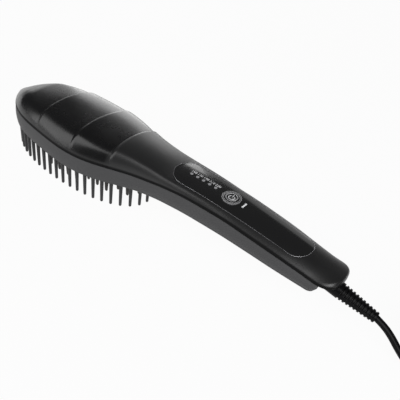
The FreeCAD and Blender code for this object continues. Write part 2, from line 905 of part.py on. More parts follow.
def mirrored(name, points, diameter):
    pair = []
    for side in (-1, 1):
        pair.append(tube(name, [(x, y * side, z) for x, y, z in points], diameter)[0])
    save(name, group(pair))


heater_along_shares = (0.2, 0.4, 0.62, 0.82)
heater_rise_shares = (0.0, 0.35, 0.8, 1.0)
heater_route = [(element_end, clamp_width / 2 + heater_lead_diameter / 2, heater_z)]
for along, rise in zip(heater_along_shares, heater_rise_shares):
    heater_route.append((element_end + lead_gap * along, screw_pass, heater_z + neck_rise * rise))
heater_route.append((board_front, screw_pass, board_mid))
mirrored("heater_leads", heater_route, heater_lead_diameter)

sensor_end = sensor_place + sensor_length / 2
sensor_gap = board_front - sensor_end
sensor_along_shares = (0.15, 0.4, 0.62, 0.84)
sensor_in_shares = (0.0, 0.12, 0.75, 1.0)
sensor_rise_shares = (0.0, 0.3, 0.75, 1.0)
sensor_spread_share = 0.6
sensor_land = screw_pass + heater_lead_diameter + sensor_lead_diameter / 2
sensor_leads = []
for side in (-1, 1):
    spread = side * sensor_lead_diameter * sensor_spread_share
    land = -sensor_land + spread
    route = [(sensor_end, spread - sensor_offset, sensor_z)]
    for along, inward, rise in zip(sensor_along_shares, sensor_in_shares, sensor_rise_shares):
        y = -sensor_offset + spread + (land + sensor_offset - spread) * inward
        route.append((sensor_end + sensor_gap * along, y, sensor_z + (board_mid - sensor_z) * rise))
    route.append((board_front, land, board_mid))
    sensor_leads.append(tube("sensor_leads", route, sensor_lead_diameter)[0])
save("sensor_leads", group(sensor_leads))

mains_root = on_relief(-relief_tail)
mains_turn = on_relief(-relief_tail - collar_thickness)
mains_gap = mains_turn.x - board_rear
mains_along_shares = (0.35, 0.6, 0.8)
mains_rise_shares = (0.35, 0.8, 1.0)
mains_out_shares = (0.8, 1.0, 1.0)
mains_inner = mains_lead_diameter
mains_route = [(point.x, mains_inner, point.z) for point in (mains_root, mains_turn)]
for along, rise, out in zip(mains_along_shares, mains_rise_shares, mains_out_shares):
    mains_route.append((mains_turn.x - mains_gap * along, mains_inner + (screw_pass - mains_inner) * out,
                        mains_turn.z + (board_mid - mains_turn.z) * rise))
mains_route.append((board_rear, screw_pass, board_mid))
mirrored("mains_leads", mains_route, mains_lead_diameter)


# Mains lead outside: the free stretch, the coil and the stretch to the plug

def coil_nodes():
    """The coil at each half turn: radius and level, in and out layer by layer."""
    halves = 2 * coil_turns
    step = coil_pitch / 2
    outer_radius = coil_inner_radius + halves * step
    level = cord_diameter / 2 + tie_thickness + tie_gap
    nodes = []
    for layer in range(coil_layers):
        for half in range(halves + 1):
            shrunk = half if layer % 2 == 0 else halves - half
            nodes.append((outer_radius - shrunk * step, level + layer * coil_pitch))
    nodes.append((outer_radius + step, nodes[-1][1]))
    return nodes


def coil_path():
    """Half turns of two arcs each, with a straight diameter at both ends."""
    edges = []
    points = []
    tangents = []
    for number, (radius, level) in enumerate(coil_nodes()):
        side = -1 if number % 2 == 0 else 1
        points.append(at(coil_centre[0], coil_centre[1] + side * radius, level))
        tangents.append(at(-side, 0, 0))
    edges.append(Part.makeLine(points[0] - tangents[0] * cord_diameter, points[0]))
    for here, there, way in zip(points, points[1:], tangents):
        reach = (there - here).Length / 2
        middle = (here + there) / 2 + way * reach
        first = here + way * reach
        second = there + way * reach
        edges.append(quarter_arc(here, first, middle))
        edges.append(quarter_arc(middle, second, there))
    edges.append(Part.makeLine(points[-1], points[-1] + tangents[-1] * cord_diameter))
    return Part.Wire(edges)


def quarter_arc(start, corner, end):
    turn = (corner - start).getAngle(end - corner)
    return Part.Arc(start, bend_mid(start, corner, end, turn), end).toShape()


def least_self_gap(path, diameter):
    """The least clear gap between turns, on points along the path."""
    spacing = diameter / 2
    count = int(path.Length / spacing)
    points = path.discretize(count)
    least = path.Length
    for number, point in enumerate(points):
        for other in points[number + gap_skip_count:]:
            least = min(least, point.distanceToPoint(other))
    return least - diameter


coil_wire = coil_path()
coil = sweep(coil_wire, cord_diameter)
coil_ideal = math.pi * cord_diameter * cord_diameter / 4 * coil_wire.Length
print("cord_coil length %.1f" % coil_wire.Length,
      "least self gap %.2f" % least_self_gap(coil_wire, cord_diameter),
      "volume share %.4f" % (coil.Volume / coil_ideal))
save("cord_coil", coil)

relief_tip = tuple(on_relief(relief_length))
coil_in = coil_wire.Edges[0].Vertexes[0].Point
coil_out = coil_wire.Edges[-1].Vertexes[-1].Point
lead, lead_length = tube("power_cord", (relief_tip,) + cord_route + (tuple(coil_in),), cord_diameter)
save("power_cord", lead)
plug_axis_x = tail_route[-1][0]
tail, tail_length = tube("cord_tail", (tuple(coil_out),) + tail_route
                         + ((plug_axis_x, plug_start, plug_half_thickness),), cord_diameter)
save("cord_tail", tail)
print("cord in all %.1f" % (lead_length + coil_wire.Length + tail_length))

# Tie: a flat strap round the bundle on its far side
bundle_low = coil_inner_radius - cord_diameter / 2 - tie_gap
bundle_high = coil_inner_radius + coil_turns * coil_pitch + cord_diameter / 2 + tie_gap
bundle_top = tie_thickness + tie_gap + (coil_layers - 1) * coil_pitch + cord_diameter + tie_gap
tie_x = coil_centre[0]
tie_y = coil_centre[1]
hole = block(tie_x + bundle_low, tie_x + bundle_high, tie_y - tie_width, tie_y + tie_width,
             tie_thickness, bundle_top)
strap = block(tie_x + bundle_low - tie_thickness, tie_x + bundle_high + tie_thickness, tie_y - tie_width / 2,
              tie_y + tie_width / 2, 0, bundle_top + tie_thickness)
save("cord_tie", strap.cut(hole))


# Plug: a flat moulded body with two round pins

def plug_outline():
    neck = plug_start + plug_length * plug_neck_share
    shoulder = plug_start + plug_length * plug_shoulder_share
    end = plug_start + plug_length
    half = [(plug_neck_half_width, plug_start), (plug_neck_half_width, neck), (plug_half_width, shoulder),
            (plug_half_width, end)]
    right = [at(plug_axis_x + x, y, 0) for x, y in half]
    left = [at(plug_axis_x - x, y, 0) for x, y in reversed(half)]
    return Part.makePolygon(right + left + right[:1])


plug = prism(plug_outline(), 0, plug_half_thickness + plug_half_thickness)
corner_edges = [edge for edge in plug.Edges if edge.BoundBox.ZLength > plug_half_thickness]
plug = plug.makeFillet(plug_half_thickness / 2, corner_edges)
save("plug_body", plug)
plug_end = plug_start + plug_length


def plug_pin(x):
    root = at(x, plug_end, plug_half_thickness)
    pin = Part.makeCylinder(plug_pin_radius, plug_pin_length, root, at(0, 1, 0))
    tip_start = plug_end + plug_pin_length - plug_pin_round
    tip = [edge for edge in pin.Edges if edge.CenterOfMass.y > tip_start]
    return pin.makeFillet(plug_pin_round, tip)


save("plug_pins", group([plug_pin(plug_axis_x + side * plug_pin_spacing / 2) for side in (-1, 1)]))

# Export: the origin is under the middle of the body, on the pin tips
os.makedirs("parts", exist_ok=True)
for name, shape in pieces.items():
    placed = shape.copy()
    placed.translate(at(-body_length / 2, 0, 0))
    placed.exportStep("parts/" + name + ".step")
    box = placed.BoundBox
    print(name, "solids", len(placed.Solids), "valid", placed.isValid(),
          "volume %.0f" % placed.Volume, "x %.1f %.1f" % (box.XMin, box.XMax),
          "y %.1f %.1f" % (box.YMin, box.YMax), "z %.1f %.1f" % (box.ZMin, box.ZMax))
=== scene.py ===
import math

import bpy
import numpy as np
from mathutils import Matrix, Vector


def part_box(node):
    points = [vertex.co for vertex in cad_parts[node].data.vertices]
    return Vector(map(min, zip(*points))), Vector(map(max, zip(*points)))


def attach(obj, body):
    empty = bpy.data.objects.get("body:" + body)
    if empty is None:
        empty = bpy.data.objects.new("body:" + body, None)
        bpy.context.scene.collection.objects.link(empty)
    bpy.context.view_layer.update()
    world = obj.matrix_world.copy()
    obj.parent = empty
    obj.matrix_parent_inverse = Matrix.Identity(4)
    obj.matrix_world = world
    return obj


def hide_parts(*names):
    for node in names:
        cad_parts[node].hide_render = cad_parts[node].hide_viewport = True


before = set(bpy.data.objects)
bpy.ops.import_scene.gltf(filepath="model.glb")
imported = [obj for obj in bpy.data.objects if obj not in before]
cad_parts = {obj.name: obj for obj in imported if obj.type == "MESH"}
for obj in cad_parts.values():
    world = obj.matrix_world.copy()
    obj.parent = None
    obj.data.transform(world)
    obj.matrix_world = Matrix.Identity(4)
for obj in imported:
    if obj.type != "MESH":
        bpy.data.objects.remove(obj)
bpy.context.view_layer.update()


# Lower shell: the side band of the head and the belly of the handle in one piece.
# Injection-moulded ABS, dark grey, with a fine spark-eroded grain; it carries the
# comb in the head and is screwed up into the upper shell's bosses.

class Line:
    """A shader value in a sum: each operator adds one Math node to its finish."""

    def __init__(self, finish, socket):
        self.finish = finish
        self.socket = socket

    def sum(self, operation, first, second):
        return self.finish.node("Math", {"operation": operation}, {0: first, 1: second})

    def __add__(self, other):
        return self.sum("ADD", self, other)

    def __sub__(self, other):
        return self.sum("SUBTRACT", self, other)

    def __rsub__(self, other):
        return self.sum("SUBTRACT", other, self)

    def __mul__(self, other):
        return self.sum("MULTIPLY", self, other)

    def __pow__(self, other):
        return self.sum("POWER", self, other)

    def __gt__(self, other):
        return self.sum("GREATER_THAN", self, other)

    def __lt__(self, other):
        return self.sum("LESS_THAN", self, other)

    __radd__ = __add__
    __rmul__ = __mul__


class Finish:
    """One material in the making: its main shader, and node() for all that feeds it."""

    def __init__(self, name, **sockets):
        self.material = bpy.data.materials.new(name)
        self.material.use_nodes = True
        self.tree = self.material.node_tree
        self.shader = self.tree.nodes["Principled BSDF"]
        self.place = self.node("TexCoord", {}, {}, "Object")
        self.set(**sockets)

    def put(self, socket, value):
        """Links a shader value to a socket, or writes a plain value into it."""
        if isinstance(value, Line):
            self.tree.links.new(value.socket, socket)
        else:
            socket.default_value = value

    def set(self, **sockets):
        """Fills sockets of the main shader, by their names."""
        for name, value in sockets.items():
            self.put(self.shader.inputs[name.replace("_", " ")], value)

    def node(self, kind, settings, links, out=0):
        """Adds a node: its settings first, a ramp's stops among them, then its sockets."""
        made = self.tree.nodes.new("ShaderNode" + kind)
        for name, value in settings.items():
            if name == "stops":
                for spot, (place, shade) in zip(made.color_ramp.elements, value):
                    spot.position = place
                    spot.color = (shade, shade, shade, 1)
            else:
                setattr(made, name, value)
        for key, value in links.items():
            self.put(made.inputs[key], value)
        return Line(self, made.outputs[out])

    def axis(self, letter):
        """One coordinate of the place on the piece, in metres."""
        return self.node("SeparateXYZ", {}, {0: self.place}, letter)

    def noise(self, scale, detail):
        """A cloudy value about 0.5, with features of about 1/scale metres."""
        return self.node("TexNoise", {}, {"Vector": self.place, "Scale": scale, "Detail": detail})

    def colour(self, share, first, second):
        """Base colour that passes from one shade into another as share goes from 0 to 1."""
        links = {0: share, 6: (*first, 1), 7: (*second, 1)}
        self.set(Base_Color=self.node("Mix", {"data_type": "RGBA"}, links, 2))

    def grain(self, height, depth, strength):
        """Feeds the surface normal from a height that stands for depth metres."""
        links = {"Height": height, "Distance": depth, "Strength": strength}
        self.set(Normal=self.node("Bump", {}, links, "Normal"))

    def cover(self, share, other):
        """Passes from the main shader to another one as share goes from 0 to 1."""
        links = {0: share, 1: Line(self, self.shader.outputs[0]), 2: other}
        mixed = self.node("MixShader", {}, links)
        self.put(self.tree.nodes["Material Output"].inputs["Surface"], mixed)


# Millimetres: X from the head's tip, heights over the table that the pins stand on
body_length, head_depth, pin_reach = 293.0, 27.0, 21.0
head_least_half = 6.72

outline_near = np.array([
    (9.48, 14.6), (27.03, 25.1), (61.04, 31.99), (87.96, 33.6), (109, 30.51), (121.99, 26.46),
    (134.98, 22.5), (148.98, 19.9), (165, 18.4), (187, 17.3), (209.13, 16.7), (252.36, 15.72),
    (277, 14.4), (285, 13.68), (289.8, 11.38), (292.2, 7.34)])

# Along the body: place, then the heights of the crown, seam and belly as shares of the
# head's depth, the belly's rise at its edges, and the power that squares the shoulders
side_view = np.array([
    (0, 0.44, 0.44, 0, 0.01, 3), (4.04, 0.53, 0.445, 0, 0.01, 3.5),
    (9.61, 0.65, 0.46, 0, 0.01, 4.5), (18.17, 0.8, 0.48, 0, 0.01, 6),
    (27.28, 0.91, 0.493, 0, 0.01, 8), (52.45, 0.995, 0.498, 0, 0.01, 9),
    (89.95, 1.005, 0.49, 0, 0.01, 9), (122.18, 0.985, 0.515, 0, 0.04, 10),
    (151.48, 0.965, 0.6, 0.04, 0.1, 14), (166.72, 0.953, 0.67, 0.07, 0.12, 16),
    (188, 0.941, 0.72, 0.1, 0.12, 12), (210.08, 0.92, 0.715, 0.1, 0.12, 5),
    (236.45, 0.86, 0.64, 0.07, 0.12, 3.3), (252.57, 0.805, 0.575, 0.03, 0.12, 3.1),
    (270.73, 0.73, 0.48, -0.01, 0.12, 3.1), (283.04, 0.67, 0.425, -0.025, 0.12, 3.1),
    (293, 0.61, 0.44, -0.025, 0.12, 3.1)])
crown_line, seam_line, belly_line, belly_rise, crown_power = 1, 2, 3, 4, 5


def closed_spline(points, count):
    """Points spread evenly by length on the smooth closed curve through the given ones:
    piecewise cubics whose second slopes agree at the joints, by chord length."""
    p = np.asarray(points, float)
    n = len(p)
    after = np.roll(np.arange(n), -1)
    before = np.roll(np.arange(n), 1)
    h = np.linalg.norm(p[after] - p, axis=1)
    slope = (p[after] - p) / h[:, None]
    system = np.diag(2 * (h + h[before]))
    system[np.arange(n), after] += h
    system[np.arange(n), before] += h[before]
    bend = np.linalg.solve(system, 6 * (slope - slope[before]))
    t = np.linspace(0, 1, 200, endpoint=False)[None, :, None]
    hh = h[:, None, None]
    here, there = p[:, None], p[after][:, None]
    m0, m1 = bend[:, None], bend[after][:, None]
    curve = here * (1 - t) + there * t
    curve = curve + hh ** 2 / 6 * (m0 * ((1 - t) ** 3 - (1 - t)) + m1 * (t ** 3 - t))
    curve = curve.reshape(-1, p.shape[1])
    loop = np.concatenate([curve, curve[:1]])
    run = np.concatenate([[0], np.cumsum(np.linalg.norm(np.diff(loop, axis=0), axis=1))])
    spread = np.linspace(0, run[-1], count, endpoint=False)
    return np.stack([np.interp(spread, run, loop[:, k]) for k in range(p.shape[1])], -1)


outline_loop = np.concatenate([
    [(0, 0)], outline_near * (1, -1), [(body_length, 0)], outline_near[::-1]])
outline = closed_spline(outline_loop, 6000)
edge_line = outline[:np.argmax(outline[:, 0]) + 1] * (1, -1)
edge_x, edge_y = edge_line.T


def half_width(x):
    """Half width of the body at x, read off its outline."""
    return np.interp(x, edge_x, edge_y)


def eased(x, column):
    """A smooth line through the side view's values: cubics whose slope at each place is
    the harmonic mean of its neighbours', so that it never overshoots."""
    xs, ys = side_view[:, 0], side_view[:, column]
    h = np.diff(xs)
    d = np.diff(ys) / h
    same_way = d[:-1] * d[1:] > 0
    mean = np.where(same_way, 2 * d[:-1] * d[1:] / np.where(same_way, d[:-1] + d[1:], 1), 0)
    m = np.concatenate([d[:1], mean, d[-1:]])
    i = np.clip(np.searchsorted(xs, x) - 1, 0, len(h) - 1)
    t = np.clip((x - xs[i]) / h[i], 0, 1)
    rise = ys[i] * (1 + 2 * t) * (1 - t) ** 2 + ys[i + 1] * t * t * (3 - 2 * t)
    return rise + h[i] * (m[i] * t * (1 - t) ** 2 - m[i + 1] * t * t * (1 - t))


def side_height(x, line):
    """Height at x of a line of the side view: its share of the head's depth, over the pins."""
    return pin_reach + head_depth * eased(x, line)


def eased_step(x, start, end):
    """0 before start, 1 after end, and three squares less two cubes between."""
    t = np.clip((x - start) / (end - start), 0, 1)
    return t * t * (3 - 2 * t)


def in_order(*runs):
    """The places of several runs as one rising row, less those within 0.03 mm of the last."""
    u = np.sort(np.concatenate(runs))
    return u[np.concatenate([[True], np.diff(u) > 0.03])]


def spread_rows(count):
    """Places along the body, spread evenly by length on its outline."""
    return edge_x[np.linspace(0, len(edge_x) - 1, count).astype(int)]


def oval_edge(x, half_long, half_wide):
    """Half width at x of the comb's oval: the curve on which the powers of the shares
    along and across add up to 1."""
    share = np.clip(np.abs(x - comb_middle) / half_long, 0, 1)
    return half_wide * (1 - share ** comb_power) ** (1 / comb_power)


def round_edge(x, middle, radius):
    """Half width at x of a round hole on the middle line."""
    return np.sqrt(np.maximum(radius ** 2 - (x - middle) ** 2, 0))


def grid_faces(rows, columns, around=True):
    """Quads of a grid of points, rows by columns, closed round its columns if asked."""
    row = np.arange(rows - 1)[:, None] * columns
    column = np.arange(columns if around else columns - 1)[None, :]
    after = (column + 1) % columns
    corners = [row + column, row + after, row + columns + after, row + columns + column]
    return np.stack(corners, -1).reshape(-1, 4)


def both_sides(far_half):
    """The far half's grid of points and its mirror image, and the faces of both."""
    faces = grid_faces(*far_half.shape[:2], around=False)
    far, near = far_half.reshape(-1, 3), (far_half * (1, -1, 1)).reshape(-1, 3)
    return np.concatenate([far, near]), np.concatenate([faces[:, ::-1], faces + len(far)])


def in_place(points):
    """Millimetres from the head's tip to metres from the middle of the body."""
    return (np.asarray(points, float) - (body_length / 2, 0, 0)) / 1000


def piece(name, points, faces, finish, nodes=(), body="brush"):
    """A new mesh in the row frame: smooth, closed at its seams, riding on its body."""
    mesh = bpy.data.meshes.new(name)
    mesh.from_pydata(np.reshape(points, (-1, 3)).tolist(), [], [tuple(face) for face in faces])
    mesh.polygons.foreach_set("use_smooth", np.ones(len(mesh.polygons), bool))
    mesh.materials.append(finish.material)
    made = bpy.data.objects.new(name, mesh)
    bpy.context.scene.collection.objects.link(made)
    made.modifiers.new("joined", "WELD").merge_threshold = 0.00002
    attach(made, body)
    if nodes:
        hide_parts(*nodes)
    return made


def walled(made, thickness):
    """Gives a surface a wall on its inner side."""
    wall = made.modifiers.new("wall", "SOLIDIFY")
    wall.thickness = thickness
    wall.offset = -1


seam_gap = 0.4
heel, foot, foot_start, foot_round = 283.0, 279.5, 266.0, 4.5
grip_start, grip_end = 115.0, 160.0
comb_middle, comb_power = 73.5, 2.2
comb_room_long, comb_room_wide, comb_wall = 67.35, 31.45, 2.4
screw_wells, well_radius, well_depth = (157.5, 252.0), 2.8, 3.0
ledge_profile = ((1.9, 0), (0.6, 0), (0.18, 0.16), (0, 0.6))

# Rows along the body, crowded at the comb's two ends and across the screw wells
bunch = 1 - np.cos(np.linspace(0, np.pi / 2, 22))
well_turn = np.linspace(0, np.pi, 25)
u = in_order(spread_rows(330), comb_middle - comb_room_long + 9 * bunch,
             comb_middle + comb_room_long - 9 * bunch,
             *(well + well_radius * np.cos(well_turn) for well in screw_wells))
u = u[u < heel]
u[0], u[-1] = 0, heel

# The band's top, and the belly's line, which turns up in a quadratic bend at the foot
band_top = side_height(u, seam_line) - seam_gap
run = u - (heel - foot) * eased_step(u, foot_start, heel)
lean = math.atan2(band_top[-1] - side_height(foot, belly_line), heel - foot)
bend = np.clip((run - foot + foot_round) / foot_round, 0, 1)
bent = (1 - bend) ** 2 * (foot - foot_round) + 2 * bend * (1 - bend) * foot
bent = bent + bend ** 2 * (foot + foot_round * math.cos(lean))
belly_x = np.where(bend > 0, bent, run)
belly_z = side_height(run, belly_line) + bend ** 2 * foot_round * math.sin(lean)
belly_half = np.maximum(half_width(belly_x), head_least_half)
rise = head_depth * eased(run, belly_rise)

# The side, as ways inward and heights: a ledge, a bulging wall and a rounded lower edge
# that is larger on the handle and ends on the slope of the belly's parabola
grip = eased_step(u, grip_start, grip_end)
edge_round, bulge, inset = 0.5 + 2.5 * grip, 0.5 + 0.6 * grip, 0.15 + 0.35 * grip
last_turn = np.arctan2(belly_half, 2 * rise)
edge_share = 1 - (inset + edge_round * (1 - np.cos(last_turn))) / belly_half
wall_low = belly_z + rise * edge_share ** 2 + edge_round * np.sin(last_turn)
profile = [(inset + inward, band_top - down) for inward, down in ledge_profile]
wall_top = profile[-1][1]
for t in np.linspace(0, 1, 14)[1:]:
    profile.append((inset + bulge * ((2 * t - 1) ** 2 - 1), wall_top + (wall_low - wall_top) * t))
for turn in (last_turn * t for t in np.linspace(0, 1, 9)[1:]):
    profile.append((inset + edge_round * (1 - np.cos(turn)), wall_low - edge_round * np.sin(turn)))
inward, zz = (np.stack(columns, 1) for columns in zip(*profile))
fall = (band_top - belly_z)[:, None]
drop = (band_top[:, None] - zz) / fall
xx = u[:, None] + (belly_x - u)[:, None] * drop
tangent = np.gradient(edge_line, axis=0)
tangent = tangent / np.linalg.norm(tangent, axis=1)[:, None]
yy = np.maximum(half_width(xx) - np.interp(xx, edge_x, tangent[:, 0]) * inward, 0)
xx = xx + np.interp(xx, edge_x, tangent[:, 1]) * inward

# The underside, from the side's last line in to the comb's opening, a well or the middle
comb_room = oval_edge(xx[:, -1], comb_room_long, comb_room_wide)
wells = sum(round_edge(xx[:, -1], well, well_radius) for well in screw_wells)
opening = np.minimum(comb_room + wells, np.maximum(yy[:, -1] - 0.1, 0))
share = np.linspace(0, 1, 14)[None, 1:]
under_share = edge_share[:, None] * (1 - share) + (opening / belly_half)[:, None] * share
under_y = yy[:, -1:] + (opening - yy[:, -1])[:, None] * share
under_z = belly_z[:, None] + rise[:, None] * under_share ** 2
under_drop = (band_top[:, None] - under_z) / fall
under_x = xx[:, -1:] + (belly_x - u)[:, None] * (under_drop - drop[:, -1:])
wall_up = np.where(comb_room > 0.01, comb_wall, np.where(wells > 0.01, well_depth, 0))
under = np.stack([under_x, under_y, under_z], -1)
inner_wall = under[:, -1:] + wall_up[:, None, None] * (0, 0, 1)
far_half = np.concatenate([np.stack([xx, yy, zz], -1), under, inner_wall], 1)
far_half = np.concatenate([far_half, far_half[-1:] * (1, 0, 1)])
band_points, band_faces = both_sides(far_half)

band_grey = Finish("spark_grained_grey", Specular_IOR_Level=0.28)
sparks = band_grey.noise(2600, 2)
patches = band_grey.noise(38, 4)
band_grey.colour(patches * 0.55 + sparks * 0.45, (0.038, 0.038, 0.0393), (0.063, 0.063, 0.0652))
band_grey.set(Roughness=0.44 + patches * 0.14 + sparks * 0.12)
band_grey.grain(sparks, 0.00012, 0.5)
band = piece("lower_shell_moulding", in_place(band_points), band_faces, band_grey,
             ["lower_shell"])
walled(band, 0.0008)


# Heater plate: a cast aluminium tray under the head, its flange held above the comb
# frame. Coated in dark ceramic, with a slight sparkle and cloudy firing marks.

def dress(node, finish, crease=32):
    """Gives a CAD node its finish, and rounds its shading between sharp edges."""
    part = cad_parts[node]
    part.data.materials.clear()
    part.data.materials.append(finish.material)
    part.data.polygons.foreach_set("use_smooth", np.ones(len(part.data.polygons), bool))
    part.modifiers.new("joined", "WELD").merge_threshold = 0.000004
    part.modifiers.new("creased", "EDGE_SPLIT").split_angle = math.radians(crease)
    return part


ceramic_coat = Finish("dark_ceramic_coat", Metallic=0.25)
firing = ceramic_coat.noise(60, 5)
sparkle = ceramic_coat.node("TexVoronoi", {}, {"Vector": ceramic_coat.place, "Scale": 1900})
ceramic_coat.colour(firing, (0.016, 0.014, 0.013), (0.04, 0.037, 0.034))
ceramic_coat.set(Roughness=0.3 + firing * 0.2 + sparkle * 0.12)
ceramic_coat.grain(sparkle, 0.00004, 0.4)
dress("heater_plate", ceramic_coat)


# Heated teeth: tapered oval fingers standing in rows on the plate, cast with it and
# coated with it; each ends in a rounded tip short of the plastic pins.

def standing(places, heights, half_x, half_y, sides):
    """Oval posts: rings at the heights, each an ellipse of the given half sizes, one
    post at every place; a post's first and last rings are points."""
    turn = np.linspace(0, 2 * np.pi, sides, endpoint=False)
    rings = np.stack([
        np.outer(half_x, np.cos(turn)), np.outer(half_y, np.sin(turn)),
        np.repeat(np.asarray(heights)[:, None], sides, 1)], -1)
    spots = np.concatenate([places, np.zeros((len(places), 1))], 1)
    points = rings[None] + spots[:, None, None, :]
    one = grid_faces(len(heights), sides)[:, ::-1]
    faces = one[None] + (np.arange(len(places)) * len(heights) * sides)[:, None, None]
    return points, faces.reshape(-1, 4)


tooth_pitch, tooth_row_pitch, tooth_rows = 9.5, 7.5, 3
tooth_room_long, tooth_room_wide = 59.9, 24.0
tooth_root, tooth_neck, tooth_round = 20.6, 4.1, 1.6
tooth_half_long, tooth_tip_long = 2.75, 1.3
tooth_half_wide, tooth_tip_wide = 1.8, 0.9
tooth_taper = 0.8

# Each row runs as far as an oval lets it, and every other row is half a pitch along
tooth_places = []
for row in range(-tooth_rows, tooth_rows + 1):
    odd = row % 2
    room = 1 - (abs(row) * tooth_row_pitch / tooth_room_wide) ** comb_power
    reach = tooth_room_long * room ** (1 / comb_power) - tooth_half_long
    count = 2 * int(reach / tooth_pitch - odd / 2) + 1 + odd
    along = comb_middle + tooth_pitch * (np.arange(count) - (count - 1) / 2)
    tooth_places.append(np.stack([along, np.full(count, row * tooth_row_pitch)], -1))
tooth_fall = np.linspace(0, 1, 7)
tip_turn = np.linspace(0, np.pi / 2, 6)[1:]
tooth_heights = np.concatenate([
    [tooth_root], tooth_root - (tooth_root - tooth_neck) * tooth_fall,
    tooth_neck - tooth_round * np.sin(tip_turn)])
tooth_long, tooth_wide = (
    np.concatenate([[0], root - (root - end) * tooth_fall ** tooth_taper, end * np.cos(tip_turn)])
    for root, end in ((tooth_half_long, tooth_tip_long), (tooth_half_wide, tooth_tip_wide)))
teeth, teeth_faces = standing(
    np.concatenate(tooth_places), tooth_heights, tooth_long, tooth_wide, 16)
piece("heated_teeth_cast", in_place(teeth), teeth_faces, ceramic_coat,
      ["heated_teeth"])


# Heating element: a flat ceramic strip laid on the back of the plate, under a spring
# strip held by two screws; plain fired white, a little uneven.

fired_white = Finish("fired_white_ceramic", Roughness=0.7)
fired_white.colour(fired_white.noise(120, 4), (0.66, 0.63, 0.56), (0.82, 0.8, 0.75))
dress("heating_element", fired_white)

spring_steel = Finish("rolled_spring_steel", Metallic=1.0, Base_Color=(0.56, 0.56, 0.57, 1))
stretching = {"Vector": spring_steel.place, "Scale": (40, 3000, 3000)}
rolling = spring_steel.node("Mapping", {}, stretching)
rolled = spring_steel.node("TexNoise", {}, {"Vector": rolling, "Scale": 1.0, "Detail": 2.0})
spring_steel.set(Roughness=0.25 + rolled * 0.2)
dress("element_clamp", spring_steel)

plated_steel = Finish("zinc_plated_steel", Metallic=1.0)
plating = plated_steel.noise(900, 3)
plated_steel.colour(plating, (0.5, 0.5, 0.5), (0.62, 0.61, 0.58))
plated_steel.set(Roughness=0.28 + plating * 0.15)
dress("clamp_screws", plated_steel)


# Thermal fuse and thermistor: two small sensors beside the element, a plain metal can
# with wire ends and a ceramic bead; both are pressed to the plate.

can_metal = Finish("plain_can_metal", Metallic=1.0, Base_Color=(0.66, 0.65, 0.62, 1))
can_metal.set(Roughness=0.3 + can_metal.noise(700, 3) * 0.2)
dress("thermal_fuse", can_metal)
dress("thermistor", fired_white)


# Leads inside the body: silicone-sleeved wires from the heater and its sensor to the
# board, and from the board to the mains lead; soft, off-white, slightly dusty.

sleeve = Finish("silicone_sleeve")
dusting = sleeve.noise(300, 4)
sleeve.colour(dusting, (0.5, 0.48, 0.45), (0.68, 0.66, 0.62))
sleeve.set(Roughness=0.5 + dusting * 0.2)
for lead in ("heater_leads", "sensor_leads", "mains_leads"):
    dress(lead, sleeve)


# Comb frame: the ring that carries the outer pins and closes the head round the plate.
# Heat-proof black nylon, moulded, snapped under the lower shell's ledge.

heat_nylon = Finish("heat_proof_black_nylon", Specular_IOR_Level=0.4)
nylon_flow = heat_nylon.noise(90, 4)
nylon_pits = heat_nylon.noise(3200, 2)
heat_nylon.colour(nylon_flow, (0.011, 0.011, 0.012), (0.022, 0.022, 0.023))
heat_nylon.set(Roughness=0.36 + nylon_flow * 0.12 + nylon_pits * 0.08)
heat_nylon.grain(nylon_pits, 0.00005, 0.35)
dress("comb_frame", heat_nylon)


# Outer pins: one row of slim round fingers along the frame's oval, moulded with it.
# They are cooler and longer than the teeth, and have ball ends that glide on the scalp.

pin_count, pin_oval_long, pin_oval_wide = 44, 65.5, 29.6
pin_root, pin_ball = 21.5, 1.1
pin_radius, pin_end_radius = 1.42, 1.08


def rounded_power(c):
    """A sine or cosine drawn out to the power that gives the comb's oval, sign kept."""
    return np.sign(c) * np.abs(c) ** (2 / comb_power)


oval_turn = np.linspace(0, 2 * np.pi, 24, endpoint=False)
pin_oval = np.stack([
    comb_middle + pin_oval_long * rounded_power(np.cos(oval_turn)),
    pin_oval_wide * rounded_power(np.sin(oval_turn))], -1)
pin_fall = np.linspace(0, 1, 8)
ball_turn = np.linspace(0, np.pi / 2, 7)[1:]
pin_heights = np.concatenate([
    [pin_root], pin_root - (pin_root - pin_ball) * pin_fall,
    pin_ball - pin_ball * np.sin(ball_turn)])
pin_radii = np.concatenate([
    [0], pin_radius - (pin_radius - pin_end_radius) * pin_fall,
    pin_end_radius * np.cos(ball_turn)])
pins, pin_faces = standing(
    closed_spline(pin_oval, pin_count), pin_heights, pin_radii, pin_radii, 14)
piece("outer_pins", in_place(pins), pin_faces, heat_nylon, ["edge_bristles"])


# Circuit board: a green glass-filled laminate with the switch, the lamps and the power
# parts on it, hung by two screws from bosses under the control panel.

laminate = Finish("green_board_laminate", Coat_Weight=0.3)
weaving = {"Vector": laminate.place, "Scale": 900, "Distortion": 1.5}
weave = laminate.node("TexWave", {}, weaving)
resin = weave * 0.4 + laminate.noise(50, 3) * 0.6
laminate.colour(resin, (0.012, 0.09, 0.035), (0.03, 0.16, 0.07))
laminate.set(Roughness=0.35 + weave * 0.1)
dress("circuit_board", laminate)

moulded_black = Finish("moulded_black_case", Roughness=0.5)
moulded_black.colour(moulded_black.noise(400, 3), (0.014, 0.014, 0.014), (0.03, 0.03, 0.03))
for case in ("tact_switch", "switch_plunger", "triac"):
    dress(case, moulded_black)

film_case = Finish("film_capacitor_case")
film_cloud = film_case.noise(250, 4)
film_case.colour(film_cloud, (0.45, 0.3, 0.05), (0.6, 0.43, 0.09))
film_case.set(Roughness=0.4 + film_cloud * 0.15)
dress("film_capacitor", film_case)
dress("line_fuse", fired_white)
dress("board_screws", plated_steel)

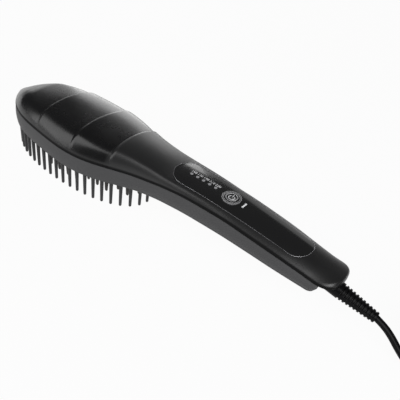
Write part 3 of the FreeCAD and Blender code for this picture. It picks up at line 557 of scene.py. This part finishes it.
lamp_body = Finish("lamp_body", Roughness=0.4)
lamp_body.colour(lamp_body.noise(600, 2), (0.62, 0.62, 0.5), (0.78, 0.78, 0.7))
for lamp in ("indicator_leds", "power_lamp_led"):
    dress(lamp, lamp_body)


# Upper shell: the back of the head, the neck and the top of the handle in one piece.
# Black ABS from a polished mould, satin behind the steps that cross the head; a matt
# lip along its edge meets the lower shell at the seam.

head_end, neck_end, handle_least_half, crown_lip = 109.0, 165.0, 14.4, 1.0
ridges, ridge_step = (50.8, 87.8, 119.8), 2.2
crest_lead, crest_round, crest_power = 0.5, 3.6, 2.4
ridge_bow, bow_rises, bow_falls = 4.2, (14, 40), (124, 160)
panel_start, panel_end, panel_front, panel_arch = 163.0, 269.0, 12.0, 10.0
panel_half, panel_end_half = 12.5, 10.9
arch_back, arch_share = 3.8, 0.78
panel_gap, panel_recess = 0.15, 1.6
edge_soft, edge_soft_share = 2.4, 0.85
lip_wide, lip_high, lip_fade = 1.7, 2.2, 0.6


def shingle(u):
    """The steps' height: each segment is full at its ridge, where a power curve rounds its
    crest, and runs out in a straight line at the next ridge."""
    height = ridge_step * np.clip(1 - u / ridges[0], 0, 1)
    for ridge, end in zip(ridges, ridges[1:] + (neck_end,)):
        crest = 1 - (1 - np.clip((u - ridge + crest_lead) / crest_round, 0, 1)) ** crest_power
        height = height + ridge_step * np.clip((end - u) / (end - ridge), 0, 1) * crest
    return height


def crown(u, x, y):
    """Height of the back at a point: the crown line less three tenths of the square and
    seven of a high power of the share across, so a gentle top rolls over a shoulder."""
    top = side_height(x, crown_line) + shingle(u)
    rim = side_height(x, seam_line) + crown_lip
    half = np.maximum(half_width(x), np.where(x < head_end, head_least_half, handle_least_half))
    across = np.clip(np.abs(y) / half, 0, 1)
    return top - (top - rim) * (0.3 * across ** 2 + 0.7 * across ** eased(x, crown_power))


def arc_over(a, b, c, x):
    """Height at x of the circle through three points, on its upper side: its middle lies
    equally far from all three, which gives two straight equations."""
    (ax, ay), (bx, by), (cx, cy) = a, b, c
    chords = np.array([(bx - ax, by - ay), (cx - ax, cy - ay)])
    squares = (bx * bx - ax * ax + by * by - ay * ay, cx * cx - ax * ax + cy * cy - ay * ay)
    mx, my = np.linalg.solve(chords, np.array(squares) / 2)
    radius = math.hypot(ax - mx, ay - my)
    return my + np.sqrt(np.maximum(radius ** 2 - (x - mx) ** 2, 0))


def panel_edge(x, gap):
    """Half width of the panel's opening, grown by a gap: an arc at the start, straight
    sides that draw in, and an arc at the end."""
    start, end = panel_start - gap, panel_end + gap
    half, end_half = panel_half + gap, panel_end_half + gap
    sides_start, sides_end = panel_start + panel_front, end - panel_arch
    front = arc_over((sides_start, -half), (start, 0), (sides_start, half), x)
    along = np.clip((x - sides_start) / (sides_end - sides_start), 0, 1)
    sides = half + (end_half - half) * along
    arch = arc_over((sides_end, end_half), (end - arch_back, end_half * arch_share), (end, 0), x)
    shape = np.where(x < sides_start, front, np.where(x < sides_end, sides, arch))
    return np.where((x > start) & (x < end), np.maximum(shape, 0), 0)


# Rows along the body, crowded at each ridge and at the panel's two ends, and columns
# from the panel or the middle out to the edge; the steps' ends bow towards the handle
u = in_order(spread_rows(250), *(ridge + np.linspace(-0.6, 3.2, 20) for ridge in ridges),
             panel_start - panel_gap + (panel_front + panel_gap) * bunch,
             panel_end + panel_gap - panel_arch * bunch)
u[0], u[-1] = 0, body_length
share = (1 - np.cos(np.linspace(0, np.pi, 48))) / 2
uu, ss = np.meshgrid(u, share, indexing="ij")
bow = eased_step(uu, *bow_rises) * (1 - eased_step(uu, *bow_falls))
xx = uu + bow * ridge_bow * ss ** 2
wide = half_width(xx)
opening = panel_edge(xx, panel_gap)
yy = opening + (wide - opening) * ss
zz = crown(uu, xx, yy)

# Round the edge over a quarter circle, by the distance from the outline
slope = np.gradient(edge_y) / np.maximum(np.gradient(edge_x), 1e-6)
to_edge = (wide - yy) / np.sqrt(1 + np.interp(xx, edge_x, np.clip(slope, -60, 60)) ** 2)
seam = side_height(xx[:, -1], seam_line)
soft = np.minimum(edge_soft, edge_soft_share * (zz[:, -1] - seam))[:, None]
inside = np.clip(soft - to_edge, 0, None)
zz = zz - (soft - np.sqrt(np.maximum(soft ** 2 - inside ** 2, 0)))

# Down into the panel's recess at one end of each row, and in under the lip at the other
recess = np.where(opening[:, 0] > 0.01, panel_recess, 0)
recess_wall = np.stack([xx[:, 0], yy[:, 0], zz[:, 0] - recess], -1)
lip = np.stack([xx[:, -1], yy[:, -1], seam], -1)
lip_run = np.where(lip[:, 0] > foot, lip[:, 1], np.minimum(lip_wide, lip[:, 1]))
lip_inner = lip - lip_run[:, None] * (0, 1, 0)
far_half = np.concatenate([
    recess_wall[:, None], np.stack([xx, yy, zz], -1), lip[:, None], lip_inner[:, None]], 1)
back_points, back_faces = both_sides(far_half)
matt = np.clip((lip_high - (zz - seam[:, None])) / lip_fade, 0, 1)
matt = np.concatenate([0 * matt[:, :1], matt, np.ones((len(u), 2))], 1)

polished_black = Finish("polished_black_shell", Specular_IOR_Level=0.42)
handling = polished_black.noise(26, 5)
peel = polished_black.noise(420, 2)
smudge = polished_black.node("ValToRGB", {"stops": ((0.45, 0.0), (0.72, 1.0))}, {0: handling})
behind_steps = {"Value": polished_black.axis("X"), "From Min": -0.0275, "From Max": -0.0245}
satin = polished_black.node("MapRange", {}, behind_steps)
polished_black.colour(satin, (0.0045, 0.0045, 0.0048), (0.011, 0.011, 0.0114))
polished_black.set(Roughness=0.2 + smudge * 0.1 + peel * 0.05 + satin * 0.12)
polished_black.grain(peel, 0.00003, 0.25)
lip_share = polished_black.node("Attribute", {"attribute_name": "matt_lip"}, {}, "Fac")
lip_black = {"Base Color": (0.004, 0.004, 0.0042, 1), "Roughness": 0.6, "Specular IOR Level": 0.08}
polished_black.cover(lip_share, polished_black.node("BsdfPrincipled", {}, lip_black))
upper = piece("upper_shell_moulding", in_place(back_points), back_faces, polished_black,
              ["upper_shell"])
lip_values = upper.data.attributes.new("matt_lip", "FLOAT", "POINT")
lip_values.data.foreach_set("value", np.tile(matt.ravel(), 2))
walled(upper, 0.0012)


# Shell screws: two self-tapping screws sunk in wells under the handle and the neck.
# Zinc-plated steel; they hold the two shells together.

dress("shell_screws", plated_steel)


# Control panel: a long insert let into the handle's top, round at both ends, with a
# hole for the button. Polished black acrylic; a bright bead round its edge is a painted highlight
# for the shine on that edge.

button_place, button_hole = 208.0, 6.6
panel_deep, edge_dip, edge_dip_run = 1.0, 0.2, 0.5
bead_radius, bead_lift = 0.13, 0.02

acrylic = Finish("polished_black_acrylic", Base_Color=(0.009, 0.009, 0.0093, 1),
                 Coat_Weight=0.2, Coat_Roughness=0.05)
acrylic.set(Roughness=0.1 + acrylic.noise(45, 5) * 0.12)
acrylic.grain(acrylic.noise(260, 2), 0.00001, 0.3)

panel_sides = np.linspace(panel_start + panel_front, panel_end - panel_arch, 60)[1:-1]
panel_run = np.concatenate([
    panel_start + panel_front * bunch, panel_sides, (panel_end - panel_arch * bunch)[::-1]])
u = in_order(panel_run, button_place + button_hole * np.cos(np.linspace(0, np.pi, 33)))[:, None]
opening, edge = round_edge(u, button_place, button_hole), panel_edge(u, 0)
yy = opening + (edge - opening) * np.sin(np.linspace(0, np.pi / 2, 20))
xx = np.broadcast_to(u, yy.shape)
zz = crown(xx, xx, yy) - edge_dip * np.clip(1 - (edge - yy) / edge_dip_run, 0, 1) ** 2
top_face = np.stack([xx, yy, zz], -1)
hole_wall = top_face[:, :1] - np.where(opening > 0.01, panel_deep, 0)[..., None] * (0, 0, 1)
side_wall = top_face[:, -1:] - np.array((0, 0, panel_deep))
panel_points, panel_faces = both_sides(np.concatenate([hole_wall, top_face, side_wall], 1))
insert = piece("panel_insert", in_place(panel_points), panel_faces, acrylic,
               ["control_panel"])
walled(insert, 0.0006)

# The painted highlight: a thin round bright bead carried along the panel's edge, on the crown's
# height, standing for the shine on that edge
highlight_bead_half = np.stack([panel_run, panel_edge(panel_run, 0.0001)], -1)
highlight_bead_half[[0, -1], 1] = 0
highlight_bead_loop = np.concatenate([highlight_bead_half, highlight_bead_half[-2:0:-1] * (1, -1)])
highlight_bead_x, highlight_bead_y = highlight_bead_loop.T
outward = np.roll(highlight_bead_loop, -1, 0) - np.roll(highlight_bead_loop, 1, 0)
outward = np.stack([-outward[:, 1], outward[:, 0]], -1)
outward = outward / np.linalg.norm(outward, axis=1)[:, None]
bead_turn = np.linspace(0, 2 * np.pi, 8, endpoint=False)
bead = highlight_bead_loop[:, None] + outward[:, None] * (bead_radius * np.cos(bead_turn))[None, :, None]
bead_z = crown(highlight_bead_x, highlight_bead_x, highlight_bead_y)[:, None] + bead_lift + bead_radius * np.sin(bead_turn)
bead = np.concatenate([bead, bead_z[..., None]], -1)
bead = np.concatenate([bead, bead[:1]])
# Painted highlight: a bright grey metal finish for the bead, put where the panel's edge only
# catches light
painted_bead_highlight = Finish("painted_bead_highlight", Metallic=0.85, Roughness=0.25)
painted_bead_highlight.colour(painted_bead_highlight.noise(70, 3), (0.2, 0.2, 0.21), (0.48, 0.48, 0.5))
piece("panel_highlight_bead", in_place(bead), grid_faces(len(bead), 8), painted_bead_highlight)


# Panel print: small temperature figures beside the lamps, screen-printed in pale grey
# on the panel before its lacquer.

figures, figure_high, figure_row = ("150", "170", "190", "210", "230"), 2.9, 2.9
lamp_first, lamp_pitch = 175, 5.0
print_lift, print_thickness = 0.03, 0.00002

print_grey = Finish("screen_printed_grey", Roughness=0.45)
print_grey.colour(print_grey.noise(1500, 3), (0.6, 0.6, 0.61), (0.78, 0.78, 0.8))


def printed(words, height):
    """The outline of words as a flat mesh, in millimetres about its own middle."""
    letters = bpy.data.curves.new("letters", "FONT")
    letters.body = words
    letters.size = height
    letters.align_x = "CENTER"
    letters.align_y = "CENTER"
    carrier = bpy.data.objects.new("letters", letters)
    flat = bpy.data.meshes.new_from_object(carrier)
    points = np.zeros(len(flat.vertices) * 3)
    flat.vertices.foreach_get("co", points)
    faces = [tuple(face.vertices) for face in flat.polygons]
    bpy.data.objects.remove(carrier)
    return points.reshape(-1, 3)[:, :2], faces


def joined(patches):
    """Several patches of points and faces as one: each one's faces count on from the
    points before it."""
    points, faces = [], []
    for patch_points, patch_faces in patches:
        first = sum(len(done) for done in points)
        points.append(patch_points)
        faces += [tuple(first + corner for corner in face) for face in patch_faces]
    return np.concatenate(points), faces


figure_patches = []
for number, words in enumerate(figures):
    flat_points, flat_faces = printed(words, figure_high)
    spot = flat_points + (lamp_first + lamp_pitch * number, figure_row)
    spot_z = crown(spot[:, 0], spot[:, 0], spot[:, 1]) + print_lift
    figure_patches.append((np.concatenate([spot, spot_z[:, None]], 1), flat_faces))
figure_points, figure_faces = joined(figure_patches)
figure_print = piece("panel_figures", in_place(figure_points), figure_faces, print_grey)
walled(figure_print, print_thickness)


# Lamp windows: clear light guides that end flush with the panel, five round ones by the
# figures and one white bar by the button, which is lit while the brush is on.

window = Finish("clear_light_guide", Roughness=0.2)
window.colour(window.noise(900, 2), (0.22, 0.22, 0.23), (0.32, 0.32, 0.33))
dress("indicator_lenses", window)

lit_bar = Finish("lit_white_bar", Roughness=0.3, Emission_Strength=0.1,
                 Emission_Color=(0.95, 0.97, 1.0, 1))
lit_bar.colour(lit_bar.noise(700, 2), (0.56, 0.57, 0.58), (0.68, 0.69, 0.7))
dress("power_lamp_lens", lit_bar)


# Button ring: a narrow collar let into the panel round the button, dark satin; its
# two edges are painted light grey, a painted highlight for the shine on their rounded edges.

ring_middle = (button_place - body_length / 2) / 1000
# Radii in metres of the painted highlights on the ring's two edges
ring_highlight_inside, ring_highlight_outside = 0.00565, 0.0061

satin_ring = Finish("dark_satin_ring_painted_highlights", Metallic=0.6)
ring_x = satin_ring.axis("X") - ring_middle
ring_r = (ring_x * ring_x + satin_ring.axis("Y") ** 2.0) ** 0.5
# Painted highlight: light grey outside the one radius and inside the other, for the shine on the
# ring's rounded edges
ring_highlight_mask = (ring_r > ring_highlight_outside) + (ring_r < ring_highlight_inside)
satin_ring.colour(ring_highlight_mask, (0.02, 0.02, 0.021), (0.42, 0.42, 0.43))
satin_ring.set(Roughness=0.25 + satin_ring.noise(800, 2) * 0.15)
dress("button_ring", satin_ring, 25)


# Power button: a dished black cap that presses a switch on the board, with the power
# sign and a fine ring printed on its face.

button_black = Finish("button_black", Coat_Weight=0.2)
thumbing = button_black.noise(180, 4)
button_black.colour(thumbing, (0.011, 0.011, 0.012), (0.02, 0.02, 0.021))
button_black.set(Roughness=0.22 + thumbing * 0.14)
dress("power_button", button_black, 25)

cap_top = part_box("power_button")[1].z * 1000
dish_deep, dish_ball, dish_reach = 0.4, 20.2, 4.0
sign_radii, ring_radii = (1.75, 2.25), (3.7, 3.95)
bar_half, bar_low, bar_high = 0.26, 0.55, 2.75


def on_cap(flat):
    """Lays flat points, about the button's middle, on its dished face: a shallow ball."""
    far = np.minimum(np.hypot(flat[..., 0], flat[..., 1]), dish_reach)
    dish = cap_top - dish_deep + dish_ball - np.sqrt(dish_ball ** 2 - far ** 2) + print_lift
    return np.concatenate([flat + (button_place, 0), dish[..., None]], -1)


def round_strip(turn, radii):
    """A flat strip between two radii, carried through the turn."""
    return np.stack([np.stack([r * np.cos(turn), r * np.sin(turn)], -1) for r in radii], 1)


sign_strips = (
    round_strip(np.radians(np.linspace(125, 415, 40)), sign_radii),
    np.stack(np.meshgrid((-bar_half, bar_half), np.linspace(bar_low, bar_high, 8)), -1),
    round_strip(np.linspace(0, 2 * np.pi, 61), ring_radii))
sign_points, sign_faces = joined(
    (on_cap(strip).reshape(-1, 3), grid_faces(len(strip), 2, around=False)[:, ::-1])
    for strip in sign_strips)
power_sign = piece("power_sign", in_place(sign_points), sign_faces, print_grey,
                   body="button")
walled(power_sign, print_thickness)


# Strain relief: a soft moulded sleeve that leads the cord out of the handle, smooth at
# its root, then slotted in rings between two spines so that it bends evenly.

relief_root, relief_lean, relief_sides = (287.5, 0, 26.3), math.radians(9), 56
relief_start, plain_end, slot_start, relief_end = -16, 5.9, 6, 30.3
slot_run, slot_pitch, slot_deep, slot_middle = 24.3, 2.43, 0.95, 0.23
root_radius, radius_loss = 5.3, 1.8
cuff_share, cuff_round = 0.72, 0.35

soft_black = Finish("soft_black_jacket", Specular_IOR_Level=0.06)
bloom = soft_black.noise(75, 5)
fine = soft_black.noise(2400, 2)
soft_black.colour(bloom, (0.003, 0.003, 0.0033), (0.007, 0.007, 0.0075))
soft_black.set(Roughness=0.2 + bloom * 0.14 + fine * 0.06)
soft_black.grain(fine, 0.00004, 0.3)

# Rings along the sleeve: a tapering radius, less a groove in each pitch between the spines
relief_along = np.concatenate([
    np.linspace(relief_start, plain_end, 24), np.linspace(slot_start, relief_end, 210)])
relief_turn = np.linspace(0, 2 * np.pi, relief_sides, endpoint=False)
taper = np.clip((relief_along - slot_start) / slot_run, 0, 1)
pitch = (relief_along - slot_start) / slot_pitch
groove = 1 - eased_step(np.abs(pitch % 1 - slot_middle), 0.16, 0.25)
groove = np.where(relief_along > slot_start, groove, 0)
spine = eased_step(np.abs(np.sin(relief_turn)), 0.9, 0.97)
relief_radius = (root_radius - radius_loss * taper)[:, None]
relief_radius = relief_radius - slot_deep * groove[:, None] * (1 - spine)[None]
relief_rings = np.stack([
    np.repeat(relief_along[:, None], relief_sides, 1),
    relief_radius * np.sin(relief_turn), relief_radius * np.cos(relief_turn)], -1)
cuff = relief_rings[-1:] * (1, cuff_share, cuff_share) + (cuff_round, 0, 0)
relief_rings = np.concatenate([
    relief_rings[:1] * (1, 0, 0), relief_rings, cuff, cuff * (1, 0, 0)])
lean_cos, lean_sin = math.cos(relief_lean), math.sin(relief_lean)
leaning = np.array([(lean_cos, 0, -lean_sin), (0, 1, 0), (lean_sin, 0, lean_cos)])
relief_points = relief_rings @ leaning + relief_root
relief_faces = grid_faces(len(relief_rings), relief_sides)[:, ::-1]
relief = piece("cord_sleeve", in_place(relief_points), relief_faces, soft_black,
               ["strain_relief"])


# Mains cord: a round two-core lead in a soft black jacket, 1.77 m long. It leaves the
# sleeve, falls to the table and is wound up beside the brush, with its plug at the end.

coil_x, coil_y, coil_outer = 366.5, 27.8, 31.8
coil_layers, layer_turns, turn_step = 4, 5, 2.8
layer_low, layer_rise, coil_leave = 3.3, 5.6, 34.6
bend_points = 8

tip = (317.43, 0, 21.56)
free_run = [
    tip, (323.6, -0.4, 19.6), (329.6, -1.2, 16.1), (335.2, -2.2, 11.9), (341.2, -3.1, 7.8),
    (348, -3.8, 4.8), (355.1, -4, 3.4), (362.1, -4, 3.3)]
plug_run = [
    (382, -6.4, 19.2), (393.2, -4.8, 16.6), (403.2, -1.6, 13.2), (410.8, 3, 10.2),
    (415.6, 8.4, 8.1), (417.4, 14.4, 6.85), (417.4, 19, 6.85)]

# The coil: half turns whose radius steps in on one layer and out on the next
radii, levels = [], []
for layer in range(coil_layers):
    steps = range(layer_turns) if layer % 2 == 0 else range(layer_turns - 1, -1, -1)
    radii += [coil_outer - turn_step * step for step in steps]
    levels += [layer_low + layer_rise * layer] * layer_turns
radii.append(coil_leave)
levels.append(levels[-1])
stretch = 1 / math.cos(math.pi / (2 * bend_points))
turns = []
for number in range(len(radii) - 1):
    way = 1 if number % 2 == 0 else -1
    here, there = -way * radii[number], way * radii[number + 1]
    climb = levels[number + 1] - levels[number]
    for step in range(bend_points):
        angle = math.pi * (step + 0.5) / bend_points
        turns.append((
            coil_x + way * (radii[number] + radii[number + 1]) / 2 * math.sin(angle) * stretch,
            coil_y + (here + there) / 2 + (here - there) / 2 * math.cos(angle) * stretch,
            levels[number] + climb * (step + 0.5) / bend_points))
coil_out = [(coil_x + 4.4, coil_y - coil_leave, 20.1)]
route = in_place(free_run + turns + coil_out + plug_run)

cord_curve = bpy.data.curves.new("mains_cord", "CURVE")
cord_curve.dimensions = "3D"
cord_line = cord_curve.splines.new("NURBS")
cord_line.points.add(len(route) - 1)
cord_line.points.foreach_set("co", np.concatenate([route, np.ones((len(route), 1))], 1).ravel())
cord_line.order_u = 3
cord_line.use_endpoint_u = True
cord_line.resolution_u = 6
cord_curve.bevel_depth = 0.0022
cord_curve.bevel_resolution = 4
cord_curve.use_fill_caps = True
cord_curve.materials.append(soft_black.material)
cord = bpy.data.objects.new("mains_cord", cord_curve)
bpy.context.scene.collection.objects.link(cord)
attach(cord, "brush")
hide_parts("power_cord", "cord_coil", "cord_tail")


# Cord tie: a flat plastic strap wrapped once round the coil's turns where they lie
# farthest from the brush; it stays with the cord in use.

strap_black = Finish("strap_black")
strap_cloud = strap_black.noise(350, 3)
strap_black.colour(strap_cloud, (0.012, 0.012, 0.012), (0.026, 0.026, 0.027))
strap_black.set(Roughness=0.4 + strap_cloud * 0.15)

# The strap's section, depth and half width in metres, carried round a rounded rectangle
strap_half = ((0, 0.0042), (-0.0001, 0.0045), (-0.0007, 0.0045), (-0.0008, 0.0042))
strap_section = np.array([(deep, -half) for deep, half in strap_half] + list(strap_half[::-1]))
tie_low, tie_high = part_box("cord_tie")
tie_bend = 0.0027
tie_side = np.array([tie_high.x - tie_low.x, tie_high.z - tie_low.z]) / 2
tie_middle = np.array([tie_high.x + tie_low.x, tie_high.z + tie_low.z]) / 2
tie_turn = np.linspace(0, 2 * np.pi, 72, endpoint=False)
round_out = np.stack([np.cos(tie_turn), np.sin(tie_turn)], -1)
tie_corner = np.sign(round_out) * (tie_side - tie_bend)
strap_out = (tie_bend + strap_section[:, 0])[None, :, None]
strap_xz = tie_middle + tie_corner[:, None] + round_out[:, None] * strap_out
strap_y = (tie_low.y + tie_high.y) / 2 + strap_section[:, 1]
strap_y = np.broadcast_to(strap_y, strap_xz.shape[:2])
strap = np.stack([strap_xz[..., 0], strap_y, strap_xz[..., 1]], -1)
strap = np.concatenate([strap, strap[:1]])
strap_faces = grid_faces(len(strap), len(strap_section))[:, ::-1]
tie = piece("cord_strap", strap, strap_faces, strap_black, ["cord_tie"])


# Plug: a flat two-pin mains plug moulded on the cord's end, narrow at the cord and wide
# at the face; its pins have plastic sleeves at their roots.

plug_x, plug_z, plug_sides = 417.4, 6.85, 64

plug_black = Finish("plug_black", Specular_IOR_Level=0.42)
plug_cloud = plug_black.noise(120, 4)
plug_pits = plug_black.noise(2800, 2)
plug_black.colour(plug_cloud, (0.013, 0.013, 0.0135), (0.025, 0.025, 0.026))
plug_black.set(Roughness=0.42 + plug_cloud * 0.1 + plug_pits * 0.08)
plug_black.grain(plug_pits, 0.00006, 0.35)

# Rings along the plug: power ovals that grow wider, deeper and squarer towards the face
plug_along = np.concatenate([[19, 19, 19.3], np.linspace(20, 54, 60), [54.6, 55, 55]])
plug_grow = np.concatenate([[0, 0.86, 0.95], np.ones(60), [0.97, 0.93, 0]])
plug_wide = 5.2 + 12.4 * eased_step(plug_along, 28, 42)
plug_deep = 5.3 + 1.53 * eased_step(plug_along, 23, 41)
squareness = (2 / (2.6 + 2.4 * eased_step(plug_along, 27, 43)))[:, None]
plug_turn = np.linspace(0, 2 * np.pi, plug_sides, endpoint=False)
c, s = np.cos(plug_turn)[None], np.sin(plug_turn)[None]
plug_points = np.stack([
    plug_x + (plug_wide * plug_grow)[:, None] * np.sign(c) * np.abs(c) ** squareness,
    np.repeat(plug_along[:, None], plug_sides, 1),
    plug_z + (plug_deep * plug_grow)[:, None] * np.sign(s) * np.abs(s) ** squareness], -1)
plug_faces = grid_faces(len(plug_along), plug_sides)[:, ::-1]
plug = piece("plug_moulding", in_place(plug_points), plug_faces, plug_black,
             ["plug_body"])

pin_sleeve_end = 0.0655
pin_metal = Finish("nickel_and_sleeve")
sleeved = pin_metal.axis("Y") < pin_sleeve_end
pin_metal.colour(sleeved, (0.62, 0.6, 0.55), (0.014, 0.014, 0.014))
pin_metal.set(Metallic=1 - sleeved,
              Roughness=0.22 + sleeved * 0.25 + pin_metal.noise(900, 2) * 0.1)
pin_part = dress("plug_pins", pin_metal)


# Studio: a pale table that looks white to the camera and in reflections, a large lamp in
# front, a tall one at the near left and three low ones behind for the shine on the far
# side, with the camera at the photograph's place.

table_mesh = bpy.data.meshes.new("table")
table_mesh.from_pydata([(-6, -6, 0), (6, -6, 0), (6, 6, 0), (-6, 6, 0)], [], [(0, 1, 2, 3)])
table = bpy.data.objects.new("table", table_mesh)
bpy.context.scene.collection.objects.link(table)
white_table = Finish("white_table", Base_Color=(0.55, 0.55, 0.55, 1), Roughness=0.8,
                     Specular_IOR_Level=0.2)
seen_directly, seen_in_gloss, seen_through = (
    white_table.node("LightPath", {}, {}, kind)
    for kind in ("Is Camera Ray", "Is Glossy Ray", "Is Transmission Ray"))
glow = white_table.node("Emission", {}, {"Color": (1, 1, 1, 1), "Strength": 1.0})
white_table.cover((seen_directly + seen_in_gloss + seen_through) * 0.95, glow)
table_mesh.materials.append(white_table.material)


def soft_lamp(name, place, aim, size, power):
    """A rectangular lamp at a place, turned to face its aim with its width level."""
    lamp = bpy.data.lights.new(name, "AREA")
    lamp.shape = "RECTANGLE"
    lamp.size, lamp.size_y = size
    lamp.energy = power
    stand = bpy.data.objects.new(name, lamp)
    bpy.context.scene.collection.objects.link(stand)
    back = np.array(place, float) - aim
    back = back / np.linalg.norm(back)
    right = np.cross((0, 0, 1), back)
    right = right / np.linalg.norm(right)
    turn = np.stack([right, np.cross(back, right), back], 1)
    stand.matrix_world = Matrix.Translation(place) @ Matrix(turn.tolist()).to_4x4()


soft_lamp("front", (0.75, -0.8, 0.8), (0, 0, 0.03), (1.0, 1.0), 18)
soft_lamp("near_left", (-0.72, -0.64, 0.64), (-0.06, 0, 0.03), (0.62, 1.3), 6.6)
soft_lamp("behind_head", (-1.6, 1.0, 0.4), (-1.6, 0, 0.4), (1.0, 0.8), 2.2)
soft_lamp("behind_neck", (-0.8, 1.0, 0.36), (-0.8, 0, 0.36), (0.6, 0.72), 5.2)
soft_lamp("behind_handle", (-0.05, 1.0, 0.32), (-0.05, 0, 0.32), (0.9, 0.64), 1.1)
sky = bpy.data.worlds.new("studio")
sky.use_nodes = True
sky_light = sky.node_tree.nodes["Background"].inputs
sky_light["Color"].default_value = (1, 1, 1, 1)
sky_light["Strength"].default_value = 0.08
bpy.context.scene.world = sky

eye = bpy.data.cameras.new("photograph")
eye.lens = 47.97
eye.sensor_width = 36
eye.clip_start = 0.01
eye_place = Matrix.Translation((0.1865, -0.2375, 0.256))
eye_turn = Matrix(((0.7806, -0.4699, 0.4120), (0.6107, 0.4373, -0.6602), (0.1297, 0.7667, 0.6287)))
camera = bpy.data.objects.new("photograph", eye)
bpy.context.scene.collection.objects.link(camera)
camera.matrix_world = eye_place @ eye_turn.to_quaternion().to_matrix().to_4x4()
bpy.context.scene.camera = camera
bpy.context.scene.view_settings.view_transform = "Standard"
